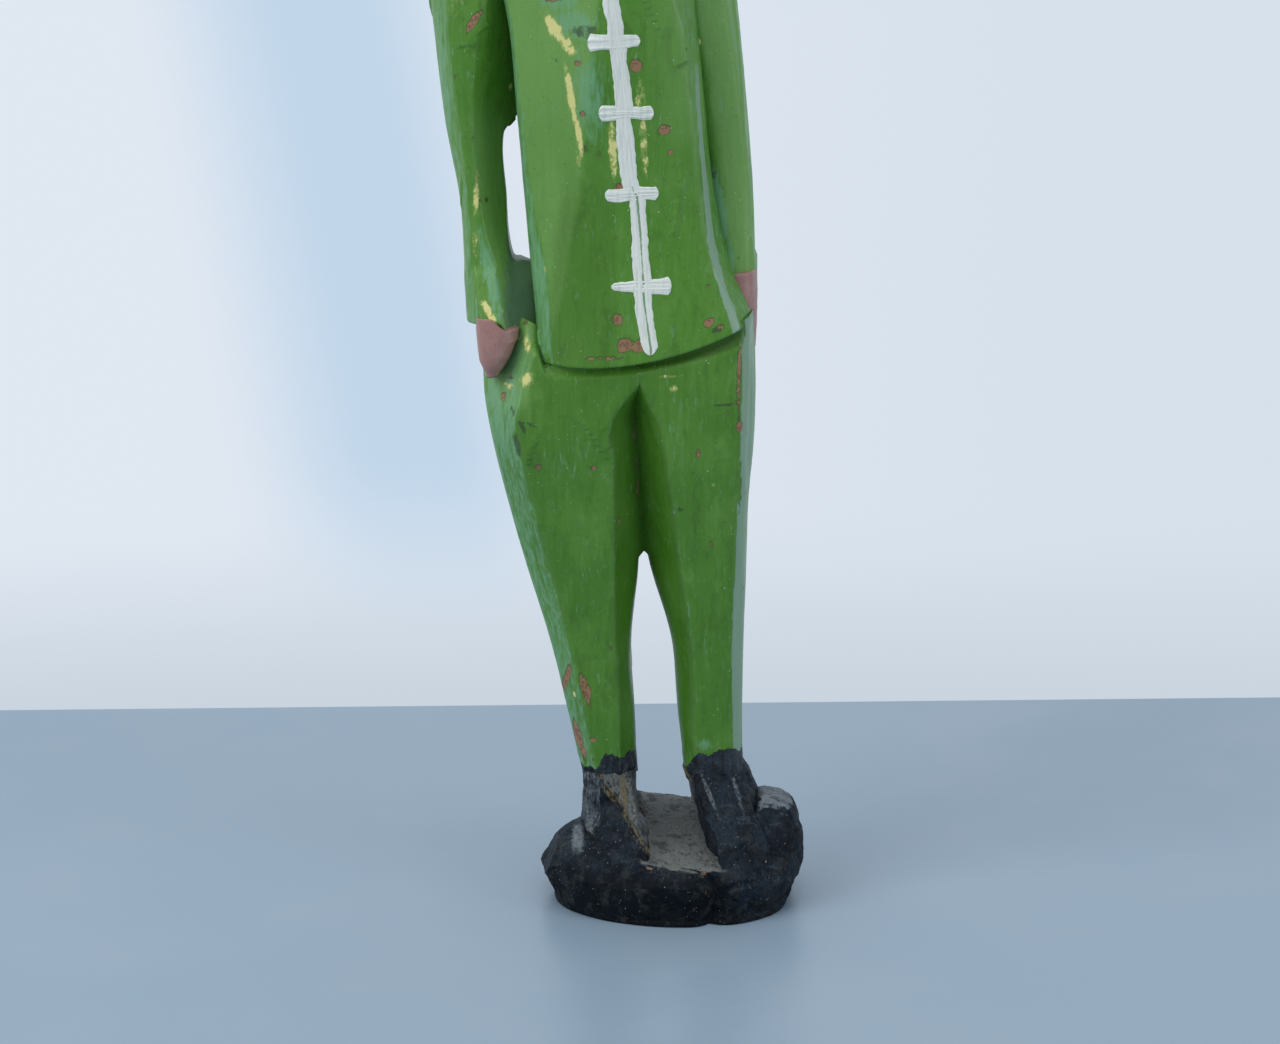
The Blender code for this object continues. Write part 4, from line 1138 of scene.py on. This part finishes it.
def base(material):
    corners = np.array(BASE_OUTLINE + BASE_OUTLINE[:1])
    length = np.concatenate([[0], np.cumsum(np.linalg.norm(np.diff(corners, axis=0), axis=1))])
    along = np.linspace(0, length[-1], 420, endpoint=False)
    outline = np.stack([np.interp(along, length, corners[:, k]) for k in range(2)], -1)
    outline = np.mean([np.roll(outline, shift, axis=0) for shift in range(-12, 13)], axis=0)
    # A cleft runs up the front, between the front lump and the one on the figure's left
    cleft = 0.045 * bell(outline[:, 0], 10.4, 3.6) + 0.03 * bell(outline[:, 0], 10.6, 1.2)
    cleft = cleft * (outline[:, 1] < 0)
    side = []
    brow = np.clip(0.62 * base_top(0.93 * outline[:, 0], 0.93 * outline[:, 1]), 5.0, 9.0)
    for share in np.linspace(0, 1, 90):
        spread = 0.5 * share + 0.5 * math.sin(share * math.pi / 2)
        scale = np.array([0.87 + 0.13 * spread, 0.96 + 0.04 * spread])
        side.append(np.column_stack([outline * (scale - cleft[:, None]), brow * share]))
    for share in np.linspace(0.01, 1, 90):
        scale = 1.0 - (0.06 + 0.07 * ease((-outline[:, 1:] - 18.0) / 8.0)) * share**1.3
        flat = outline * (scale - cleft[:, None] * (1 - 0.6 * share))
        top = base_top(flat[:, 0], flat[:, 1])
        side.append(np.column_stack([flat, brow + (top - brow) * math.sin(share * math.pi / 2)]))
    edge = side[-1][:, :2]
    for scale in np.linspace(0.99, 0.01, 130):
        flat = edge * scale
        side.append(np.column_stack([flat, base_top(flat[:, 0], flat[:, 1])]))
    grid = np.stack(side)
    keep = grid[0].copy()
    # The brow of the block is worn round
    padded = np.pad(grid, ((ROUNDING_ROWS, ROUNDING_ROWS), (0, 0), (0, 0)), mode="edge")
    grid = np.mean([padded[k : k + len(grid)] for k in range(2 * ROUNDING_ROWS + 1)], axis=0)
    plain = grid.copy()
    grid = chop(grid, 60, (0.35, 0.9), 71, 3.0, 12.0, 0.6)
    grid = chop(grid, 240, (0.06, 0.2), 72, 4.0, 4.5)
    # The flat between the shoes was left as one slope
    x, y, z = np.moveaxis(plain, -1, 0)
    flat = ease((x + 12.0) / 3.0) * ease((17.0 - x) / 3.0) * ease((y + 27.0) / 3.0)
    flat = flat * ease((z - 11.0) / 2.0)
    grid = grid + (plain - grid) * flat[..., None]
    grid = roughen(grid, (0.22, 3.0, 73), (0.13, (1.2, 1.2, 2.4), 74), (0.09, 0.6, 75))
    grid[..., 2] = np.maximum(grid[..., 2], 0.0)
    grid[0] = keep
    low = [keep * np.array([s, s, 1.0]) for s in (0.02, 0.4, 0.7, 0.9)]
    piece = skin("base_mound_carved", np.concatenate([np.stack(low), grid]))
    spots = {
        "bare": (
            (-5.8, 13.6, 1, 0.45, -10, 1), (7, 12.4, 0.7, 0.7, 0, 1), (18.8, 15, 1.5, 0.9, 20, 0.95),
            (17.4, 14, 0.7, 0.6, 0, 1), (7.6, 8.6, 0.5, 0.8, 0, 0.85), (4.8, 4, 0.5, 0.7, 0, 0.9),
            (2, 1, 3, 0.6, 0, 0.55), (22, 4.5, 3, 0.5, 15, 0.6), (-20, 18, 0.8, 0.8, 0, 0.8),
            (-14, 2, 5, 0.5, -8, 0.6),
        ),
        "dust_and_sheen": ((-23.4, 17.6, 1.6, 3.4, 0, 0.95),),
    }
    values, points, facing = mark_layers(piece, spots, ("dust_and_sheen", "lit_facet_grey", "olive", "bare"), 76, 70, (0.2, 0.6))
    x, y, z = points.T
    # Painted light on the flat between the shoes, and dust with painted light on all tops, most on the right
    # lump
    up = ease((facing[:, 2] - 0.55) / 0.3)
    plateau = ease((x + 9.0) / 2.0) * ease((14.0 - x) / 3.0) * ease((y + 26.5) / 1.5) * ease((22.0 - y) / 4.0)
    values["lit_facet_grey"] = up * plateau
    show_most(values, "dust_and_sheen", up * np.maximum(0.35, 0.95 * ease((x - 19.0) / 3.0)))
    low_front = ease((-facing[:, 1] - 0.35) / 0.3) * ease((15.0 - z) / 5.0)
    values["shade"] = low_front * ease((17.0 - x) / 6.0)
    # A thin pale line where the front face meets the top
    brink = bell(y + 25.5 - 0.012 * (x - 2) ** 2, 0.0, 0.5) * ease((x + 9.0) / 2.0) * ease((13.0 - x) / 2.0)
    show_most(values, "dust_and_sheen", 0.5 * brink * (z > 9.0))
    finish_piece(piece, values, material, "base_mound")


# Braid: brush strokes laid on the jacket's front


def stroke(name, node, tree, path, half_width, seed, material, double=0.0):
    """A raised brush stroke. path is a list of (x, z); the stroke is laid on the jacket from the front."""
    path = np.array(path)
    count, across = len(path), 26
    way = np.gradient(path, axis=0)
    way /= np.linalg.norm(way, axis=1, keepdims=True)
    side = np.stack([way[:, 1], -way[:, 0]], -1)
    where = np.column_stack([path[:, 0], np.zeros(count), path[:, 1]])
    share = np.linspace(0, 1, count)
    ends = np.clip(np.minimum(share, 1 - share) * count / 7.0, 0.0, 1.0) ** 0.5
    left, right = (
        half_width * (1 + 0.2 * noise(where, 4.5, seed + k) + 0.07 * noise(where, 0.9, seed + k + 1)) * ends
        for k in (0, 2)
    )
    top, under, thin = [], [], []
    for i in range(count):
        u = np.linspace(-1, 1, across)
        offset = np.where(u < 0, u * left[i], u * right[i])
        spots = path[i] + side[i] * offset[:, None]
        row = np.column_stack([spots[:, 0], np.zeros(across), spots[:, 1]])
        for k in range(across):
            hit = tree.ray_cast(Vector((row[k, 0], -60.0, row[k, 2])), Vector((0, 1, 0)))
            row[k, 1] = hit[0].y if hit[0] is not None else np.nan
        row[:, 1] = np.where(np.isnan(row[:, 1]), np.nanmean(row[:, 1]), row[:, 1])
        bristles = np.column_stack([u * 6.0, np.full(across, share[i] * count / 60.0), u * 0])
        ridges = 0.5 + 0.5 * noise(bristles, 1.0, seed + 4)
        crown = np.sqrt(np.clip(1 - u**4, 0, 1))
        lifted = row.copy()
        lifted[:, 1] -= (0.12 + 0.26 * ridges) * crown - 0.03
        sunk = row.copy()
        sunk[:, 1] += 0.5
        top.append(lifted)
        under.append(sunk)
        patch = 0.5 + 0.5 * noise(where[i], 5.0, seed + 5)
        split = double * (0.25 + 0.75 * ease((186.0 - path[i, 1]) / 12.0)) * (0.6 + 0.6 * patch)
        thin.append(split * bell(u, 0.12, 0.17) + 0.3 * (1 - ends[i]) + 0.2 * patch)
    grid = np.concatenate([np.stack(top), np.stack(under)[:, ::-1]], axis=1)
    piece = skin(name, grid)
    levels = np.concatenate([np.stack(thin), np.zeros((count, across))], axis=1).reshape(-1)
    values = {"thin": np.concatenate([levels, [0.0, 0.0]])}
    finish_piece(piece, values, material, node)


def braid(jacket_piece, material):
    points = vectors_of(jacket_piece, "co") / MM
    polygons = [tuple(p.vertices) for p in jacket_piece.data.polygons]
    tree = BVHTree.FromPolygons([Vector(p) for p in points], polygons)
    height = np.linspace(HEM_HEIGHT + 1.6, PIPING_TOP + 0.7, 420)
    sway = 0.35 * noise(np.column_stack([height * 0, height * 0, height]), 17.0, 81)
    # Each stretch between two bars was painted on its own, a little out of line with the next
    steps = np.zeros(len(height))
    for number, bar in enumerate(BAR_HEIGHTS):
        steps += (0.25, -0.7, 0.5, -0.35, 0.3, -0.2)[number] * ease((height - bar) / 1.5 + 0.5)
    path = [(middle(z) + PIPING_PLACE + s, z + LEAN * PIPING_PLACE) for z, s in zip(height, sway + steps)]
    stroke("front_piping_stroke", "front_piping", tree, path, BRAID_WIDTH / 2 + 0.15, 82, material, 0.75)
    for number, (bar, length, thick) in enumerate(zip(BAR_HEIGHTS, BAR_LENGTHS, BAR_THICKNESSES), 1):
        reach = np.linspace(-length / 2, length / 2, 110)
        wave = 0.18 * noise(np.column_stack([reach, reach * 0 + bar, reach * 0]), 4.0, 83)
        middle_x = middle(bar) + PIPING_PLACE + (-0.3, -0.4, 0.2, -1.0, 0.0, 0.2)[number - 1]
        slope = (0.01, 0.02, 0.0, 0.04, 0.03, 0.05)[number - 1]
        place = bar + LEAN * PIPING_PLACE
        path = [(middle_x + x, place + slope * x + w) for x, w in zip(reach, wave)]
        name = f"braid_bar_{number}"
        half = np.interp(reach / length, (-0.5, 0.0, 0.5), thick) / 2
        stroke(name + "_stroke", name, tree, path, half, 84 + number * 7, material)


# Head


def face_relief(x, z):
    """The calm, plain face: how far it stands forward of the head's smooth front."""
    side = np.abs(x)
    nose_width = 2.0 + 1.9 * ease((286.0 - z) / 12.0)
    nose = 5.4 * np.exp(-((side / nose_width) ** 2.6)) * ease((291.0 - z) / 15.0) * ease((z - 271.6) / 2.6)
    wings = 1.5 * bell(side, 3.4, 1.5) * bell(z, 274.4, 1.9)
    brow = 1.5 * bell(z, 291.2 - 0.03 * (side - 8) ** 2, 2.0) * bell(side, 8.0, 6.5)
    socket = -2.0 * bell(z, 285.6, 3.8) * bell(side, 8.0, 5.2)
    ball = 1.9 * np.sqrt(np.clip(1 - ((side - 8.0) / 4.3) ** 2 - ((z - 285.6) / 2.5) ** 2, 0, 1))
    lid = 0.55 * bell(z, 288.0 - 0.09 * (side - 8) ** 2, 0.55) * ease((4.9 - np.abs(side - 8.0)) / 1.0)
    lower_lid = 0.4 * bell(z, 283.2 + 0.09 * (side - 8) ** 2, 0.5) * ease((4.7 - np.abs(side - 8.0)) / 1.0)
    muzzle = 1.2 * bell(z, 267.6, 5.0) * bell(side, 0.0, 7.5)
    upper_lip = 1.0 * bell(z, 268.9 - 0.012 * side**2, 0.95) * ease((6.2 - side) / 2.0)
    lower_lip = 1.15 * bell(z, 266.4 + 0.014 * side**2, 1.05) * ease((5.6 - side) / 2.0)
    mouth = -0.7 * bell(z, 267.7 + 0.004 * side**2, 0.35) * ease((6.4 - side) / 1.5)
    chin = 1.5 * bell(z, 260.6, 3.2) * bell(side, 0.0, 6.5)
    cheek = 0.8 * bell(z, 277.0, 5.0) * bell(side, 12.0, 4.5)
    eyes = (brow, socket, ball, lid, lower_lid)
    return sum((nose, wings, *eyes, muzzle, upper_lip, lower_lip, mouth, chin, cheek))


def head(material):
    grid = rings(HEAD, 257.5, 314.0, 330, 300)
    front = ease((-grid[..., 1] - 4.0) / 6.0)
    relief = face_relief(grid[..., 0], grid[..., 2]) * front
    grid = whittle(grid, 7.0, 0.16, 91, 1.5)
    grid[..., 1] -= relief
    grid = roughen(grid, (0.06, (3, 3, 4), 92), (0.02, 0.9, 93))
    piece = skin("head_carved", closed(lean(grid), 1.2, 0.8))
    values, points, _ = mark_layers(piece, {}, SKIN_LAYERS, 94, 14, (0.4, 1.0))
    z = points[:, 2]
    x = points[:, 0] - middle(z)
    height = z - LEAN * x
    side = np.abs(x)
    is_front = ease((-points[:, 1] - 8.0) / 3.0)
    eye = 1 - ((side - 8.0) / 4.0) ** 2 - ((height - 285.6) / 2.1) ** 2
    iris = 1 - ((side - 8.0) / 1.55) ** 2 - ((height - 285.7) / 1.7) ** 2
    brow = bell(height, 292.4 - 0.03 * (side - 8) ** 2, 0.8) * ease((6.5 - np.abs(side - 8.4)) / 1.5)
    values["white"] = 1.2 * ease(eye * 4.0) * is_front
    values["dark"] = 1.2 * np.maximum(ease(iris * 3.0), ease((brow - 0.35) * 3.0)) * is_front
    upper_lip = bell(height, 268.9, 0.95) * ease((6.2 - side) / 2.0)
    lower_lip = bell(height, 266.4, 1.1) * ease((5.6 - side) / 2.0)
    lips = np.maximum(upper_lip, lower_lip)
    values["lip"] = 0.9 * ease(lips * 1.3) * is_front
    finish_piece(piece, values, material, "head")


def ears(material):
    for side, sign, seed in (("right", -1, 95), ("left", 1, 96)):
        rows = []
        for z, x, y, inner, outer, *rest in EAR:
            sides = (inner, outer) if sign > 0 else (outer, inner)
            rows.append((z, sign * x, y, *sides, *rest))
        grid = rings(rows, 274.5, 290.0, 90, 90)
        # The bowl of the ear is hollowed from the outer side
        x, y, z = np.moveaxis(grid, -1, 0)
        hollow = bell(z, 284.0, 3.6) * bell(y, 2.4, 2.4) * ease((sign * x - 20.5) / 1.5)
        grid[..., 0] -= sign * 1.6 * hollow
        grid = roughen(grid, (0.06, 2.0, seed))
        piece = skin(f"ear_{side}_carved", closed(lean(grid), 0.8, 0.8))
        finish_skin(piece, material, "ear_" + side, seed, 4, (0.3, 0.6))


def neck_and_collar(skin_material, green_material):
    grid = rings(NECK, 249.0, 269.0, 90, 140)
    grid = roughen(whittle(grid, 6.0, 0.2, 97, 2.0), (0.06, 2.5, 98))
    piece = skin("neck_carved", closed(lean(grid), 0.3, 0.3))
    finish_skin(piece, skin_material, "neck", 99, 5, (0.3, 0.8))
    grid = rings(COLLAR, 248.0, 256.0, 80, 200)
    # The collar stands open at the throat
    throat = bell(grid[..., 0], 2.2, 1.4) * (grid[..., 1] < 0)
    grid[..., 1] += 1.6 * throat * ease((grid[..., 2] - 249.0) / 4.0)
    grid = roughen(whittle(grid, 6.0, 0.25, 100, 1.5), (0.08, 3.0, 101), (0.03, 1.0, 102))
    piece = skin("jacket_collar_carved", closed(lean(grid), 0.3, 0.7))
    values = mark_layers(piece, {}, GREEN_LAYERS, 103, 10)[0]
    finish_piece(piece, values, green_material, "jacket_collar")


def hair(material):
    angle = turn_angles(300)
    turn = np.degrees(np.arcsin(np.sin(angle)))
    hairline = 306.0 - 14.5 * ease((turn + 78.0) / 50.0) - 19.0 * ease((turn - 24.0) / 26.0)
    ring = np.column_stack([12 * np.cos(angle), 12 * np.sin(angle), 0 * angle])
    hairline = hairline + 0.5 * noise(ring, 1.6, 104)
    share = np.linspace(0, 1, 200)[:, None]
    z = hairline[None] + (313.9 - hairline[None]) * share
    x, y = section(curve(HEAD, z), angle, 0.3 + 2.1 * ease(share / 0.06))
    grid = np.stack([x, y, z + 2.3 * share], -1)
    # Gouged locks run down from the crown
    locks = np.abs(np.mod(angle * 22 / (2 * np.pi) + 0.25 * np.sin(6 * share), 1.0) - 0.5) * 2
    depth = 0.45 * (1 - locks**2) * ease(share / 0.05) * ease((1 - share) / 0.15)
    grid = grid - facing_of(grid) * depth[..., None]
    grid = roughen(grid, (0.08, 2.0, 105), (0.04, 0.7, 106))
    piece = skin("hair_carved", closed(lean(grid), 0.2, 0.3))
    values = mark_layers(piece, {}, ("bare",), 107, 16, (0.4, 1.2))[0]
    finish_piece(piece, values, material, "hair_cap")


# ------------------------------------------------------------------------------
# Stage, lights and camera

# Places in metres, angles in degrees and the lens in mm
FLOOR_EDGE = 0.1547
FLOOR_TURN = 1.95
CAMERA_PLACE = (-0.0082, -0.850, 0.310)
CAMERA_PITCH = 14.287
CAMERA_LENS = 101.8


def stage():
    """The shelf the figure stands on. It ends behind the figure, where the pale wall begins."""
    size = 6.0
    floor_mesh = bpy.data.meshes.new("floor")
    corners = [(-size, -size, 0), (size, -size, 0), (size, 0, 0), (-size, 0, 0)]
    floor_mesh.from_pydata(corners, [], [(0, 1, 2, 3)])
    floor = bpy.data.objects.new("floor", floor_mesh)
    floor.location = (0, FLOOR_EDGE, -0.0002)
    floor.rotation_euler.z = math.radians(FLOOR_TURN)
    paint = Paint("floor_paint", (0.252, 0.345, 0.442), 0.36)
    paint.coat((0.275, 0.36, 0.452), paint.range(paint.noise(60.0, 4.0, 0.6), 0.4, 0.7), 0.8)
    paint.coat((0.24, 0.325, 0.41), paint.range(paint.noise(2.0, 3.0, seed=2.0), 0.6, 0.75), 0.25)
    floor_mesh.materials.append(paint.done())
    bpy.context.scene.collection.objects.link(floor)


def area_light(name, place, target, size, power, colour):
    data = bpy.data.lights.new(name, "AREA")
    data.shape = "RECTANGLE"
    data.size, data.size_y = size
    data.energy = power
    data.color = colour
    light = bpy.data.objects.new(name, data)
    light.location = place
    light.rotation_euler = (Vector(target) - Vector(place)).to_track_quat("-Z", "Y").to_euler()
    bpy.context.scene.collection.objects.link(light)


def lights():
    area_light("window", (-1.15, -0.75, 0.95), (0, 0, 0.13), (1.0, 1.0), 13.0, (1.0, 0.985, 0.95))
    area_light("ceiling", (0.1, -0.2, 1.9), (0, 0, 0.1), (1.4, 1.4), 9.0, (1.0, 0.99, 0.97))
    area_light("fill", (1.3, -0.8, 0.5), (0, 0, 0.15), (0.8, 1.0), 6.5, (0.95, 0.97, 1.0))


def world():
    """A dim room in front and a pale painted wall behind, lighter on the left and darker low down, with one
    soft bluish painted shadow band on it.
    """
    made = bpy.data.worlds.new("room")
    bpy.context.scene.world = made
    made.use_nodes = True
    tree = Nodes(made.node_tree)
    parts = tree.nodes.new("ShaderNodeSeparateXYZ")
    tree.feed(parts.inputs[0], tree.nodes.new("ShaderNodeTexCoord").outputs["Generated"])
    across, deep, height = parts.outputs
    wall = tree.mix(tree.range(across, -0.15, 0.2), (0.745, 0.807, 0.885), (0.672, 0.745, 0.825))
    wall = tree.mix(tree.range(height, -0.24, -0.30), wall, (0.58, 0.655, 0.735))
    # The band is a painted shadow. It leans with height, and fades out before the shelf
    line = tree.math("ADD", tree.math("MULTIPLY", height, 0.2), across)
    lit = tree.range(line, -0.165, -0.115)
    unlit = tree.range(line, -0.06, -0.1)
    fade = tree.range(height, -0.285, -0.225)
    band = tree.math("MULTIPLY", tree.math("MULTIPLY", lit, unlit), fade)
    wall = tree.mix(tree.math("MULTIPLY", band, 0.85), wall, (0.50, 0.65, 0.81))
    room = tree.mix(tree.range(across, -0.8, 0.8), (0.52, 0.56, 0.59), (0.34, 0.37, 0.41))
    final = tree.mix(tree.range(deep, 0.2, 0.75), room, wall)
    tree.feed(tree.nodes["Background"].inputs[0], final)


def camera():
    data = bpy.data.cameras.new("camera")
    data.lens = CAMERA_LENS
    data.sensor_width = 36.0
    made = bpy.data.objects.new("camera", data)
    made.location = CAMERA_PLACE
    made.rotation_euler = (math.radians(90 - CAMERA_PITCH), 0, 0)
    bpy.context.scene.collection.objects.link(made)
    bpy.context.scene.camera = made


def build():
    jacket_green = green_paint("jacket_green_paint", (0.078, 0.228, 0.022))
    trouser_green = green_paint("trouser_green_paint", (0.067, 0.20, 0.018))
    skin_brown = skin_paint()
    carved_jacket = jacket(jacket_green)
    sleeves(jacket_green)
    trousers(trouser_green)
    hands(skin_brown)
    shoes(black_paint("shoe_black_paint", 0.5))
    base(black_paint("base_charcoal_paint", 0.6))
    braid(carved_jacket, white_paint())
    head(skin_brown)
    ears(skin_brown)
    neck_and_collar(skin_brown, jacket_green)
    hair(hair_paint())
    stage()
    lights()
    world()
    camera()
    bpy.context.scene.view_settings.view_transform = "Standard"


build()
